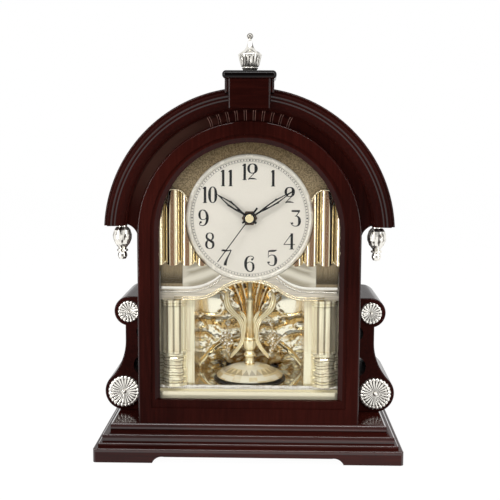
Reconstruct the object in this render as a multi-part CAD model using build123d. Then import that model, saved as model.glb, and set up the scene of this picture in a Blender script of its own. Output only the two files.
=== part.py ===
"""Desk clock with an arched wooden case, a quartz movement and a rotating lyre pendulum."""

from build123d import *
import math
import os

# All lengths are millimetres. X runs to the right, Y to the back, Z up.
# The origin is on the table, under the middle of the base.

# Clearances that several pieces share
running_gap = 0.05
seat_gap = 0.3
overrun = 1.0

# Base: three stacked boards on bracket feet and felt pads
base_width = 247.0
base_depth = 140.0
pad_thick = 1.0
pad_side = 16.0
pad_inset = 4.0
plinth_height = 11.3
foot_height = 5.0
foot_length = 47.5
foot_curve = 9.5
plinth_round = 3.0
edge_round = 1.2
moulding_step = 8.0
moulding_height = 9.2
cove_height = 3.0
cove_width = 3.0
deck_step = 8.0
deck_height = 6.9
deck_round = 2.4
side_step = 6.6

# Case: boards, arches and the opening for the glass
case_setback = 2.0
case_width = 178.0
case_back_margin = 10.0
side_height = 154.1
frame_thick = 6.0
board_thick = 10.0
side_thick = 9.0
back_thick = 8.0
frame_border = 17.0
sill_height = 18.8
moulding_width = 6.5
moulding_drop = 1.2
bevel_width = 3.6
bevel_drop = 2.6
frame_round = 1.8
rebate = 3.0
glass_thick = 2.0

# Roof: bent shell, front moulding and the reeds carved below it
roof_radius = 114.5
roof_inner = 97.0
roof_end_rise = 6.5
shell_proud = 4.0
shell_round = 1.5
roof_moulding_thick = 6.0
roof_moulding_radius = 111.3
face_outer = 110.3
face_inner = 103.5
face_drop = 1.2
cove_drop = 4.8
shoulder_drop = 14.0
reed_count = 9
reed_pitch_angle = 4.3
reed_width = 5.6
reed_proud = 1.6
reed_lean = 3.0

# Keystone and finial
key_front_width = 32.4
key_front_thick = 6.0
key_front_round = 2.0
key_width = 38.0
key_depth = 34.0
key_below = 0.9
key_over_roof = 5.5
cap_width = 41.4
cap_height = 6.3
cap_proud = 1.6
cap_round = 2.9
finial_height = 29.8
finial_radius = 9.4
finial_ball = 2.7
peg_radius = 2.0
peg_length = 6.0

# Pendants under the ends of the roof
pendant_height = 27.5
pendant_radius = 7.6

# Scroll brackets at both sides and their rosettes
scroll_front_setback = 35.0
upper_radius = 12.4
upper_rise = 85.0
upper_reach = 12.2
waist_reach = 15.4
lower_radius = 16.3
lower_reach = 16.8
upper_hole = 6.3
upper_hole_rise = 67.5
lower_hole = 8.8
lower_hole_rise = 39.0
scroll_round = 1.2
small_rosette = 9.3
large_rosette = 13.7
rosette_thick = 2.2
rosette_dome = 1.6
petal_groove = 0.9
small_petals = 16
large_petals = 20
rosette_eye_share = 0.28
scroll_touch_angle = 50.0

# Stage, pilasters, valance and panels behind the glass
wall_gap = 0.5
kerb_height = 8.0
kerb_round = 5.0
lip_rise = 2.1
lip_thick = 2.0
floor_rise = 25.6
floor_thick = 2.5
stage_depth = 64.0
mirror_thick = 2.0
pilaster_radius = 9.6
pilaster_inset = 10.8
pilaster_lobes = 6
lobe_radius = 4.6
capital_proud = 0.6
capital_height = 5.0
pedestal_height = 29.0
jamb_width = 6.6
jamb_thick = 3.0
valance_rise = 98.6
valance_height = 9.3
valance_thick = 1.8
valance_inset = 11.0
valance_flat_inset = 28.0
valance_crown = 15.0
valance_bend_share = 0.42
bridge_thick = 2.5
bridge_rise = 122.0
cornice_flat_inset = 22.0
cornice_inner = 22.0
cornice_lift = 11.7
cornice_thick = 2.6
cornice_height = 1.9
panel_thick = 2.0
reeds_pitch = 12.05
reeds_outset = 2.0
reeds_count = 4
reeds_lift = 5.1
reeds_scallop = 3.4
reeds_head_inset = 11.5
reeds_head_rise = 12.3
reeds_head_radius = 11.0
wing_thick = 1.4

# Dial and hands
dial_rise = 165.6
dial_radius = 51.3
dial_thick = 1.0
bezel_width = 3.2
bezel_height = 2.4
hour_length = 32.6
minute_length = 42.8
second_length = 43.4
second_tail = 10.6
hand_tail = 6.9
hand_thick = 0.4
hand_gap = 0.8
boss_radius = 4.4
hour_half_width = 2.65
minute_half_width = 2.2
second_half_width = 0.75
cap_radius = 3.4
cap_thick = 1.2
hour_angle = 306.3
minute_angle = 57.5
second_angle = 216.0

# Quartz movement
movement_half = 28.0
movement_up = 21.0
bay_height = 16.5
movement_wall = 1.5
layer_pitch = 1.8
layer_count = 7
gear_thick = 0.9
train_distance = 9.6
rotor_distance = 7.0
arbor_radius = 0.4
second_arbor = 0.5
minute_pipe = 1.4
hour_pipe = 2.4
tube_radius = 4.0
nut_radius = 6.3
nut_sides = 6
nut_thick = 1.4
rotor_radius = 2.5
stator_gap = 0.7
coil_radius = 2.8
coil_length = 22.0
coil_reach = 22.5
battery_radius = 7.1
battery_length = 49.0
battery_nub_shares = (0.36, 0.14)
knob_radius = 4.5
knob_length = 4.0
knob_ribs = 14
rib_radius = 0.5

# Rotating pendulum and its drive
pendulum_setback = 47.0
disc_radius = 28.5
disc_edge = 3.4
disc_height = 9.6
disc_lift = 2.6
facet_radius = 18.5
facet_count = 10
hub_radius = 6.0
lyre_height = 81.0
stem_radius = 3.1
guide_radius = 1.2
arm_thick = 2.6
arm_width = 4.0
arm_reach = 22.0
flower_radius = 6.4
flower_thick = 3.4
bead_radius = 2.7
flower_petals = 12
wire_width = 1.0
pivot_radius = 1.0
pivot_depth = 4.0
magnet_thick = 1.4
magnet_radius = 12.0
magnet_width = 4.0
well_radius = 30.6
well_width = 5.2
well_thick = 0.8
drive_half = 34.0
drive_depth = 52.0
drive_wall = 1.6
drive_coil_radius = 9.0
drive_coil_height = 9.0

# Back door, hinges and catch
door_thick = 4.0
door_width = 112.0
door_height = 164.0
door_rise = 16.0
door_lap = 5.0
door_gap = 0.4
barrel_radius = 1.8
pin_radius = 0.9
leaf_thick = 0.9
leaf_width = 11.0
leaf_height = 24.0
leaf_inset = 22.0
knob_disc = 5.0
door_knob_length = 4.6
grip_shares = (0.50, 0.38, 0.80)
magnet_block = 8.0
strike_thick = 0.6

# Places that follow from the sizes above
base_front = -base_depth / 2
base_back = base_depth / 2
moulding_front = base_front + moulding_step
deck_front = moulding_front + deck_step
case_front = deck_front + case_setback
frame_back = case_front + frame_thick
board_back = frame_back + board_thick
case_back = base_back - case_back_margin
back_front = case_back - back_thick
plinth_top = pad_thick + plinth_height
moulding_top = plinth_top + moulding_height
deck_top = moulding_top + deck_height
arch_z = deck_top + side_height
half_case = case_width / 2
half_opening = half_case - frame_border
sill_z = deck_top + sill_height
roof_end_z = arch_z + roof_end_rise
shell_front = frame_back - roof_moulding_thick - shell_proud
roof_front = shell_front - roof_moulding_thick
key_top = arch_z + roof_radius + key_over_roof
key_block_front = roof_front - key_front_thick
cap_top = key_top + cap_height
glass_back = frame_back + glass_thick
panel_front = board_back
panel_back = panel_front + panel_thick
floor_top = deck_top + floor_rise
floor_bottom = floor_top - floor_thick
lip_top = floor_top + lip_rise
stage_back = panel_front + stage_depth
inner_half = half_case - side_thick - wall_gap
dial_z = deck_top + dial_rise
dial_front = panel_front - dial_thick
pilaster_reach = half_opening - pilaster_inset
room_half = pilaster_reach - pilaster_radius - jamb_width
valance_half = half_opening - valance_inset
valance_flat = half_opening - valance_flat_inset
cornice_flat = half_opening - cornice_flat_inset
valance_low = deck_top + valance_rise
valance_top = valance_low + valance_height
bridge_low = deck_top + bridge_rise - bridge_thick
panel_low = deck_top + bridge_rise
reeds_low = panel_low + reeds_lift
reeds_shoulder = reeds_low + reeds_scallop
movement_front = panel_back
movement_back = movement_front + 2 * movement_wall + layer_count * layer_pitch
pendulum_y = case_front + pendulum_setback
disc_low = floor_top + disc_lift
disc_top = disc_low + disc_height
nut_front = dial_front - nut_thick
hour_front = nut_front - hand_gap - hand_thick
minute_front = hour_front - hand_gap - hand_thick
second_front = minute_front - hand_gap - hand_thick
door_front = case_back + door_gap
door_back = door_front + door_thick


def block(x0, x1, y0, y1, z0, z1):
    """A box between six planes."""
    middle = Pos((x0 + x1) / 2, (y0 + y1) / 2, (z0 + z1) / 2)
    return middle * Box(x1 - x0, y1 - y0, z1 - z0)


def slab(sketch, y0, y1):
    """A sketch drawn in X and Z, given its thickness from y0 to y1."""
    return Pos(0, y1, 0) * extrude(Plane.XZ * sketch, y1 - y0)


def rod_y(x, z, radius, y0, y1):
    """A round bar along Y."""
    return slab(Pos(x, z) * Circle(radius), y0, y1)


def rod_z(x, y, radius, z0, z1):
    """A round bar along Z."""
    return Pos(x, y, z0) * extrude(Circle(radius), z1 - z0)


def rod_x(y, z, radius, x0, x1):
    """A round bar along X."""
    return Pos(x0, y, z) * extrude(Plane.YZ * Circle(radius), x1 - x0)


def turned(points, x, y):
    """A piece turned about an upright axis, from its radius and height points."""
    face = make_face(Polyline(*points, close=True))
    return Pos(x, y, 0) * revolve(Plane.XZ * face, Axis.Z)


def both_sides(part):
    """The part and its mirror image, as two solids in one group."""
    return Compound(children=[*part.solids(), *mirror(part, Plane.YZ).solids()])


def group(*parts):
    """Separate solids that share one node."""
    return Compound(children=[solid for part in parts for solid in part.solids()])


def arch_face(half, low):
    """An upright panel with a round head, centred on the arch height."""
    upright = Pos(0, (low + arch_z) / 2) * Rectangle(2 * half, arch_z - low)
    head = Pos(0, arch_z) * Circle(half)
    above = Pos(0, low + half + arch_z / 2) * Rectangle(2 * half, 2 * half + arch_z)
    return upright + (head & above)


def edges_at(part, axis, position, reach=running_gap):
    """The part's edges whose whole length lies in one plane across the axis."""
    return part.edges().filter_by_position(axis, position - reach, position + reach)


def quarter_arc(start, end):
    """An arc between two points that leaves the first one almost upright."""
    share = math.sin(math.pi / 4)
    middle = (start[0] + (end[0] - start[0]) * (1 - share), start[1] + (end[1] - start[1]) * share)
    return ThreePointArc(start, middle, end)


def foot_gap(half_gap, low, top, curve):
    """The outline of the cut between two bracket feet, with curved shoulders."""
    with BuildLine() as line:
        quarter_arc((half_gap, low), (half_gap - curve, top))
        Polyline((half_gap - curve, top), (-half_gap + curve, top))
        quarter_arc((-half_gap, low), (-half_gap + curve, top))
        Polyline((-half_gap, low), (-half_gap, low - overrun), (half_gap, low - overrun), (half_gap, low))
    return make_face(line.line)


def felt_pads():
    """Four felt pads under the bracket feet."""
    x = base_width / 2 - pad_inset - pad_side / 2
    y = base_depth / 2 - pad_inset - pad_side / 2
    pads = []
    for sx in (-1, 1):
        for sy in (-1, 1):
            pads.append(Pos(sx * x, sy * y, pad_thick / 2) * Box(pad_side, pad_side, pad_thick))
    return group(*pads)


def base_plinth():
    """The lowest board, cut away between four bracket feet."""
    half = base_width / 2
    board = block(-half, half, base_front, base_back, pad_thick, plinth_top)
    board = fillet(board.edges().filter_by(Axis.Z), plinth_round)
    board = fillet(edges_at(board, Axis.Z, plinth_top), edge_round)
    top = pad_thick + foot_height
    front_cut = foot_gap(half - foot_length, pad_thick, top, foot_curve)
    board -= slab(front_cut, base_front - overrun, base_back + overrun)
    side_cut = foot_gap(base_back - foot_length, pad_thick, top, foot_curve)
    across = extrude(Plane.YZ * side_cut, base_width + 2 * overrun)
    board -= Pos(-half - overrun, 0, 0) * across
    return board


def base_moulding():
    """The middle board, with a cove that rises from the plinth."""
    half = base_width / 2 - side_step
    cove = block(-half - cove_width, half + cove_width, moulding_front - cove_width, base_back,
                 plinth_top, plinth_top + cove_height)
    cove = fillet(edges_at(cove, Axis.Z, plinth_top + cove_height), edge_round)
    board = block(-half, half, moulding_front, base_back, plinth_top, moulding_top)
    board = fillet(edges_at(board, Axis.Z, moulding_top), edge_round)
    return board + cove


def base_deck():
    """The top board of the base, with a rounded nose."""
    half = base_width / 2 - 2 * side_step + edge_round
    board = block(-half, half, deck_front, base_back, moulding_top, deck_top)
    return fillet(edges_at(board, Axis.Z, deck_top), deck_round)


def front_frame():
    """The arched frame round the glass, stepped and bevelled towards the opening."""
    frame = slab(arch_face(half_case, deck_top), case_front, frame_back)
    outer = [e for e in edges_at(frame, Axis.Y, case_front) if e.bounding_box().max.Z > deck_top + overrun]
    frame = fillet(outer, frame_round)
    step = arch_face(half_opening + moulding_width, sill_z - moulding_width)
    frame -= slab(step, case_front - overrun, case_front + moulding_drop)
    frame -= slab(arch_face(half_opening, sill_z), case_front - overrun, frame_back + overrun)
    inner_y = case_front + moulding_drop
    inner = [e for e in edges_at(frame, Axis.Y, inner_y)
             if abs(e.bounding_box().max.Z - arch_z) < half_opening + running_gap
             and e.bounding_box().min.Z > sill_z - running_gap
             and e.bounding_box().max.X < half_opening + running_gap
             and e.bounding_box().min.X > -half_opening - running_gap]
    return chamfer(inner, bevel_drop, bevel_width)


def shoulder_face(reach):
    """The board's outline: upright sides that curve out to carry the roof's ends."""
    low = roof_end_z - shoulder_drop
    end = math.sqrt(reach ** 2 - roof_end_rise ** 2)
    sides = Pos(0, (deck_top + roof_end_z) / 2) * Rectangle(2 * half_case, roof_end_z - deck_top)
    head = Pos(0, arch_z) * Circle(reach)
    low_half = Pos(0, roof_end_z - reach) * Rectangle(2 * reach + overrun, 2 * reach)
    with BuildLine() as line:
        Polyline((half_case - side_thick, low), (half_case, low))
        quarter_arc((half_case, low), (end, roof_end_z))
        Polyline((end, roof_end_z), (half_case - side_thick, roof_end_z), (half_case - side_thick, low))
    shoulder = make_face(line.line)
    return sides + (head - low_half) + shoulder + mirror(shoulder, Plane.YZ)


def reed(angle):
    """One carved reed, a rounded bar that leans away from the middle."""
    inner = half_case + seat_gap
    outer = roof_inner - reed_proud
    length = outer - inner
    widest = math.radians(reed_count * reed_pitch_angle / 2)
    lean = reed_lean * math.sin(math.radians(angle)) / math.sin(widest)
    bar = Pos(0, frame_back, 0) * extrude(Plane.XY * Circle(reed_width / 2), length)
    bar &= block(-reed_width, reed_width, frame_back - reed_proud, frame_back + overrun, 0, length)
    bar = Pos(0, 0, inner) * (Rot(0, lean, 0) * bar)
    return Pos(0, 0, arch_z) * (Rot(0, angle, 0) * bar)


def front_board():
    """The board behind the frame, with reeds carved under the keystone."""
    board = slab(shoulder_face(roof_inner), frame_back, board_back)
    board -= slab(arch_face(half_opening + rebate + seat_gap, sill_z - rebate - seat_gap),
                  frame_back - overrun, board_back + overrun)
    for index in range(reed_count):
        board += reed((index - (reed_count - 1) / 2) * reed_pitch_angle)
    return board


def front_glass():
    """The arched pane in the rebate of the front board."""
    return slab(arch_face(half_opening + rebate, sill_z - rebate), frame_back, glass_back)


def side_panel():
    """The right side board, which widens at its top to close the roof's end."""
    inner = half_case - side_thick
    panel = block(inner, half_case, board_back, back_front, deck_top, roof_end_z)
    solid = slab(shoulder_face(roof_inner), board_back, back_front)
    solid &= block(inner, roof_inner, board_back, back_front, roof_end_z - shoulder_drop, roof_end_z)
    return panel + solid


def back_opening():
    """The outline of the hole that the back door closes."""
    half = door_width / 2 - door_lap
    low = deck_top + door_rise + door_lap
    high = low + door_height - 2 * door_lap
    return Pos(0, (low + high) / 2) * Rectangle(2 * half, high - low)


def back_frame():
    """The board at the back, with the opening for the door."""
    board = slab(shoulder_face(roof_inner), back_front, case_back)
    return board - slab(back_opening(), back_front - overrun, case_back + overrun)


def roof_cut():
    """Everything below the level where the roof's ends are cut flat."""
    reach = roof_radius + overrun
    return block(-reach, reach, roof_front - overrun, case_back + overrun, arch_z - reach, roof_end_z)


def roof_shell():
    """The bent shell of the roof."""
    shell = slab(Pos(0, arch_z) * (Circle(roof_radius) - Circle(roof_inner)), shell_front, case_back)
    rim = [e for e in edges_at(shell, Axis.Y, shell_front) if e.radius > roof_inner + overrun]
    return fillet(rim, shell_round) - roof_cut()


def roof_moulding():
    """The moulded ring in front of the shell: a broad face and a cove."""
    face_y = roof_front + face_drop
    with BuildLine() as line:
        Polyline((roof_inner + overrun, shell_front), (roof_inner + overrun, shell_front - face_drop))
        ThreePointArc(
            (roof_inner + overrun, shell_front - face_drop),
            ((roof_inner + overrun + face_inner) / 2 - face_drop / 2, face_y + cove_drop / 2 - face_drop),
            (face_inner, face_y),
        )
        Polyline((face_inner, face_y), (face_outer, roof_front),
                 (roof_moulding_radius, roof_front + face_drop), (roof_moulding_radius, shell_front),
                 (roof_inner + overrun, shell_front))
    ring = revolve(Plane.XY * make_face(line.line), Axis.Y)
    return Pos(0, 0, arch_z) * ring - roof_cut()


def keystone():
    """The block on top of the arch, with its rounded cap."""
    front_half = key_front_width / 2
    low = arch_z + roof_inner + key_below
    front = block(-front_half, front_half, key_block_front, roof_front, low, key_top)
    front = fillet(front.edges().filter_by(Axis.Z), key_front_round)
    half = key_width / 2
    body = block(-half, half, roof_front - key_front_round, roof_front + key_depth,
                 arch_z + roof_inner, key_top)
    body = fillet(body.edges().filter_by(Axis.Z), key_front_round)
    body -= slab(Pos(0, arch_z) * Circle(roof_radius), shell_front, case_back)
    body -= slab(Pos(0, arch_z) * Circle(roof_moulding_radius), roof_front - key_front_thick, shell_front)
    cap = block(-cap_width / 2, cap_width / 2, key_block_front - cap_proud,
                roof_front + key_depth + cap_proud, key_top, cap_top)
    cap = fillet(cap.edges(), cap_round)
    hole_low = cap_top - peg_length - seat_gap
    return front + body + cap - rod_z(0, finial_y(), peg_radius + running_gap, hole_low, cap_top + overrun)


def finial_y():
    """The finial stands over the middle of the keystone's depth."""
    return roof_front + (key_depth - key_front_thick) / 2


# Radius and height of the finial's outline, as shares of its greatest radius and its height
finial_shares = [
    (0.72, 0.00), (0.78, 0.03), (0.62, 0.07), (0.60, 0.10), (0.80, 0.14), (0.86, 0.22), (0.96, 0.36),
    (1.00, 0.43), (0.97, 0.46), (0.80, 0.50), (0.50, 0.54), (0.30, 0.60), (0.17, 0.70), (0.12, 0.80),
]


def finial():
    """The turned urn on the keystone: a cup, a spire and a ball, on a peg."""
    low = cap_top
    points = [(0, low - peg_length), (peg_radius, low - peg_length), (peg_radius, low)]
    points += [(r * finial_radius, low + h * finial_height) for r, h in finial_shares]
    points += [(0, points[-1][1])]
    urn = turned(points, 0, finial_y())
    ball_z = low + finial_height - finial_ball
    stalk = rod_z(0, finial_y(), finial_shares[-1][0] * finial_radius, points[-2][1] - finial_ball, ball_z)
    return urn + stalk + Pos(0, finial_y(), ball_z) * Sphere(finial_ball)


# Radius and height of the pendant's outline, as shares of its radius and its height, from the top
pendant_shares = [
    (0.52, 0.00), (0.52, 0.05), (0.66, 0.07), (0.86, 0.14), (1.00, 0.28), (0.98, 0.40), (0.78, 0.54),
    (0.46, 0.65), (0.40, 0.68), (0.58, 0.71), (0.58, 0.75), (0.38, 0.78), (0.46, 0.82), (0.50, 0.90),
    (0.36, 0.98), (0.10, 1.00),
]


def pendants():
    """The turned drops under the ends of the roof."""
    x = roof_inner + pendant_radius * pendant_shares[0][0]
    top = roof_end_z
    points = [(0, top)]
    points += [(r * pendant_radius, top - h * pendant_height) for r, h in pendant_shares]
    points += [(0, points[-1][1])]
    return both_sides(turned(points, x, shell_front + pendant_radius))


def upper_centre():
    """Centre of the scroll's small end."""
    return half_case + upper_reach, deck_top + upper_rise


def lower_centre():
    """Centre of the scroll's large end."""
    return half_case + lower_reach, deck_top + lower_radius


def scroll_face():
    """The scroll's outline: a small end, a waist and a large end, pierced beside the case."""
    ux, uz = upper_centre()
    lx, lz = lower_centre()
    side = half_case
    waist = half_case + waist_reach
    waist_low = uz - 2 * upper_radius
    touch = math.radians(scroll_touch_angle)
    flare_x = lx + lower_radius * math.sin(touch)
    flare_z = lz + lower_radius * math.cos(touch)
    with BuildLine() as line:
        Polyline((side, lz), (side, uz), (waist, uz), (waist, waist_low))
        TangentArc((waist, waist_low), (flare_x, flare_z), tangent=(0, -1))
        Polyline((flare_x, flare_z), (lx, lz), (side, lz))
    body = make_face(line.line)
    body += Pos((side + ux) / 2, uz) * Rectangle(ux - side, 2 * upper_radius)
    body += Pos(ux, uz) * Circle(upper_radius)
    body += Pos((side + lx) / 2, lz) * Rectangle(lx - side, 2 * lower_radius)
    body += Pos(lx, lz) * Circle(lower_radius)
    body -= Pos(side, deck_top + upper_hole_rise) * Circle(upper_hole)
    body -= Pos(side, deck_top + lower_hole_rise) * Circle(lower_hole)
    reach = upper_reach + lower_reach + lower_radius
    height = upper_rise + 2 * upper_radius
    return body & Pos(side + reach / 2, deck_top + height / 2) * Rectangle(reach, height)


def scroll_bracket():
    """The bracket beside the case, as thick as the case behind its own front."""
    front = case_front + scroll_front_setback
    scroll = slab(scroll_face(), front, case_back)
    rim = [e for e in edges_at(scroll, Axis.Y, front)
           if e.bounding_box().max.X > half_case + waist_reach - running_gap]
    return fillet(rim, scroll_round)


def rosette(centre, radius, petals):
    """A pressed rosette: a dished disc with grooves between its petals and a centre stud."""
    front = case_front + scroll_front_setback
    x, z = centre
    disc = rod_y(0, 0, radius, front - rosette_thick, front)
    disc = chamfer(edges_at(disc, Axis.Y, front - rosette_thick), rosette_thick / 2)
    for index in range(petals):
        angle = 360 * index / petals
        groove = rod_z(0, front - rosette_thick - petal_groove / 4, petal_groove / 2,
                       radius * rosette_eye_share, radius + overrun)
        notch = rod_y(0, radius + petal_groove / 4, petal_groove,
                      front - rosette_thick - overrun, front + overrun)
        disc -= Rot(0, angle, 0) * (groove + notch)
    disc += Pos(0, front - rosette_thick, 0) * Sphere(rosette_dome)
    return Pos(x, 0, z) * disc


def rosettes():
    """The four rosettes on the ends of the scrolls."""
    small = rosette(upper_centre(), small_rosette, small_petals)
    large = rosette(lower_centre(), large_rosette, large_petals)
    return group(both_sides(small), both_sides(large))


def stage():
    """The floor of the glazed room with its kerb and lip, and the walls that it stands on."""
    half = half_opening + rebate - wall_gap
    kerb_front = glass_back + wall_gap
    kerb_low = sill_z - rebate
    kerb = block(-half, half, kerb_front, panel_front, kerb_low, kerb_low + kerb_height)
    kerb = fillet([e for e in kerb.edges().filter_by(Axis.Z) if e.center().Y < panel_front], kerb_round)
    lip = block(-half, half, panel_front - lip_thick, panel_front, kerb_low, lip_top)
    floor = block(-inner_half, inner_half, panel_front, stage_back, floor_bottom, floor_top)
    apron = block(-inner_half, inner_half, panel_front, panel_front + floor_thick, deck_top, floor_top)
    rear = block(-inner_half, inner_half, stage_back - floor_thick, stage_back, deck_top, floor_top)
    body = kerb + lip + floor + apron + rear
    return body - rod_z(0, pendulum_y, pivot_radius + seat_gap, floor_bottom - overrun, floor_top + overrun)


def back_mirror():
    """The plated wall behind the pendulum."""
    return block(-inner_half, inner_half, stage_back - mirror_thick, stage_back, floor_top, bridge_low)


def side_mirrors():
    """The plated walls at both sides of the pendulum, from the jambs to the back wall."""
    wall = block(room_half, room_half + mirror_thick, panel_back + jamb_thick, stage_back - mirror_thick,
                 floor_top, bridge_low)
    return both_sides(wall)


# Radius and height of the columns' pedestals and capitals, as shares of the widest radius and the height
pedestal_shares = [
    (1.00, 0.00), (1.00, 0.10), (0.94, 0.12), (1.00, 0.15), (1.00, 0.24), (0.92, 0.27), (0.92, 0.31),
    (0.98, 0.34), (0.98, 0.45), (0.91, 0.48), (0.92, 0.66), (0.97, 0.71), (0.97, 0.80), (0.91, 0.83),
    (1.00, 0.88), (1.00, 1.00),
]
capital_shares = [(0.92, 0.00), (1.00, 0.20), (1.00, 0.34), (0.93, 0.50), (1.00, 0.68), (1.00, 1.00)]


def turned_length(shares, radius, low, height, x, y):
    """A turned piece between two levels, from its outline's shares."""
    points = [(0, low)]
    points += [(r * radius, low + h * height) for r, h in shares]
    points += [(0, low + height)]
    return turned(points, x, y)


def lobed_shaft(x, y, z0, z1):
    """A column of round lobes, with a groove down the middle of its front."""
    distance = pilaster_radius - lobe_radius
    shaft = rod_z(x, y, distance, z0, z1)
    for index in range(pilaster_lobes):
        lobe_x, lobe_y = polar(distance, 360 * index / pilaster_lobes, (x, y))
        shaft += rod_z(lobe_x, lobe_y, lobe_radius, z0, z1)
    return shaft


def pilasters():
    """Lobed columns on turned pedestals, with a flat jamb beside each."""
    wide = pilaster_radius + capital_proud
    y = glass_back + wall_gap + wide
    low = lip_top
    shaft_low = low + pedestal_height
    shaft_high = valance_low - capital_height
    column = lobed_shaft(pilaster_reach, y, shaft_low, shaft_high)
    column += turned_length(pedestal_shares, wide, low, pedestal_height, pilaster_reach, y)
    column += turned_length(capital_shares, wide, shaft_high, capital_height, pilaster_reach, y)
    foot = rod_z(pilaster_reach, y, wide, floor_top, low)
    foot &= block(0, inner_half, panel_front, stage_back, floor_top, low)
    jamb = block(room_half, pilaster_reach - pilaster_radius / 2, panel_back, panel_back + jamb_thick,
                 floor_top, valance_low)
    wall = block(pilaster_reach, inner_half, panel_back, panel_back + jamb_thick, floor_top, valance_low)
    return both_sides(column + foot + jamb + wall)


def valance_curve():
    """The lower edge of the valance: flat ends and an ogee that rises to the middle."""
    bend_x = valance_flat * (1 - valance_bend_share)
    bend_z = valance_low + valance_crown * valance_bend_share
    crown_z = valance_low + valance_crown
    left = TangentArc((-valance_flat, valance_low), (-bend_x, bend_z), tangent=(1, 0))
    top = ThreePointArc((-bend_x, bend_z), (0, crown_z), (bend_x, bend_z))
    right = TangentArc((valance_flat, valance_low), (bend_x, bend_z), tangent=(-1, 0))
    return left, top, right


def valance_face(half, top_points):
    """A panel between the ogee below and a line of points above."""
    with BuildLine() as line:
        Polyline((-half, valance_low), (-valance_flat, valance_low))
        valance_curve()
        Polyline((valance_flat, valance_low), (half, valance_low), *top_points, (-half, valance_low))
    return make_face(line.line)


def cornice_face(rise, proud):
    """The panel below the cornice's right half, up to a height above its line."""
    low = valance_top + rise
    with BuildLine() as line:
        Polyline((half_opening + proud, low), (cornice_flat, low))
        TangentArc((cornice_flat, low), (cornice_inner, low + cornice_lift), tangent=(-1, 0))
        Polyline((cornice_inner, low + cornice_lift), (0, low + cornice_lift), (0, valance_low),
                 (half_opening + proud, valance_low), (half_opening + proud, low))
    return make_face(line.line)


def dial_hole(gap):
    """The round place of the dial, which panels stop short of."""
    return Pos(0, dial_z) * Circle(dial_radius + gap)


def valance():
    """The arched panel above the stage, with the bridge behind it that guides the pendulum."""
    backing = valance_face(inner_half, [(inner_half, panel_low), (-inner_half, panel_low)])
    layer = valance_face(valance_half, [(valance_half, panel_low), (-valance_half, panel_low)])
    right = cornice_face(0, 0)
    layer &= right + mirror(right, Plane.YZ)
    layer -= dial_hole(seat_gap)
    bridge = block(-inner_half, inner_half, panel_front, stage_back, bridge_low, panel_low)
    body = slab(backing, panel_front, panel_back) + bridge
    body += slab(layer, panel_front - valance_thick, panel_front)
    return body - rod_z(0, pendulum_y, guide_radius + running_gap, bridge_low - overrun, panel_low + overrun)


def cornice():
    """The bright double line above the valance, one length at each side of the dial."""
    right = cornice_face(cornice_height, 0) - cornice_face(0, overrun) - dial_hole(seat_gap)
    strip = slab(right, panel_front - cornice_thick, panel_front)
    return both_sides(strip)


def wings():
    """The panels between the cornice and the reeds, one at each side of the dial."""
    width = half_opening - cornice_inner
    height = reeds_shoulder - valance_top
    face = Pos(cornice_inner + width / 2, valance_top + height / 2) * Rectangle(width, height)
    for index in range(reeds_count):
        face -= reed_outline(index)
    face -= cornice_face(cornice_height, overrun)
    face -= dial_hole(seat_gap)
    return both_sides(slab(face, panel_front - wing_thick, panel_front))


def dial_panel():
    """The arched panel that carries the dial, the reeds and the movement."""
    panel = slab(arch_face(inner_half, panel_low), panel_front, panel_back)
    return panel - rod_y(0, dial_z, tube_radius + running_gap, panel_front - overrun, panel_back + overrun)


def reed_x(index):
    """The middle of one reed beside the dial, counted from the opening's edge."""
    return half_opening + reeds_outset - index * reeds_pitch


def reed_outline(index):
    """One reed's outline, up to the top of the opening, with its rounded lower end."""
    x = reed_x(index)
    left, right = x - reeds_pitch / 2, x + reeds_pitch / 2
    top = arch_z + half_opening
    with BuildLine() as line:
        Polyline((left, reeds_shoulder), (left, top), (right, top), (right, reeds_shoulder))
        ThreePointArc((right, reeds_shoulder), (x, reeds_low), (left, reeds_shoulder))
    return make_face(line.line)


def span(x0, x1, z0, z1):
    """A rectangle between two sides and two levels."""
    return Pos((x0 + x1) / 2, (z0 + z1) / 2) * Rectangle(x1 - x0, z1 - z0)


def bundle_outline():
    """The outline of the reeds at the right: a round head, and a foot that passes below the dial."""
    head_x = half_opening - reeds_head_inset
    head_z = dial_z + reeds_head_rise
    outline = Pos(head_x, head_z) * Circle(reeds_head_radius)
    outline += span(head_x - reeds_head_radius, half_opening, dial_z, head_z)
    outline += span(cornice_inner, half_opening, reeds_low, dial_z)
    return (outline & arch_face(half_opening, panel_low)) - dial_hole(seat_gap)


def upper_reeds():
    """The bundles of reeds at both sides of the dial, with round heads and scalloped feet."""
    room = panel_front - glass_back - wall_gap
    outline = slab(bundle_outline(), panel_front - room, panel_front)
    bars = []
    for index in range(reeds_count):
        bar = rod_z(reed_x(index), panel_front, reeds_pitch / 2, reeds_low, arch_z + half_opening)
        bars.append(bar & slab(reed_outline(index), panel_front - room, panel_front) & outline)
    return both_sides(group(*bars))


def dial_plate():
    """The dial, a thin disc on the front of its panel."""
    plate = rod_y(0, dial_z, dial_radius - bezel_width / 2, dial_front, panel_front)
    return plate - rod_y(0, dial_z, tube_radius + running_gap, dial_front - overrun, panel_front + overrun)


def dial_bezel():
    """The ring round the dial, crowned at its front."""
    inner = dial_radius - bezel_width
    outer = dial_radius
    seat = dial_radius - bezel_width / 2
    front = panel_front - bezel_height
    crown = (outer - inner) / 4
    with BuildLine() as line:
        Polyline((outer, panel_front), (outer, front + crown))
        ThreePointArc((outer, front + crown), ((outer + inner) / 2, front), (inner, front + crown))
        Polyline((inner, front + crown), (inner, dial_front), (seat, dial_front), (seat, panel_front),
                 (outer, panel_front))
    return Pos(0, 0, dial_z) * revolve(make_face(line.line), Axis.Y)


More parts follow.
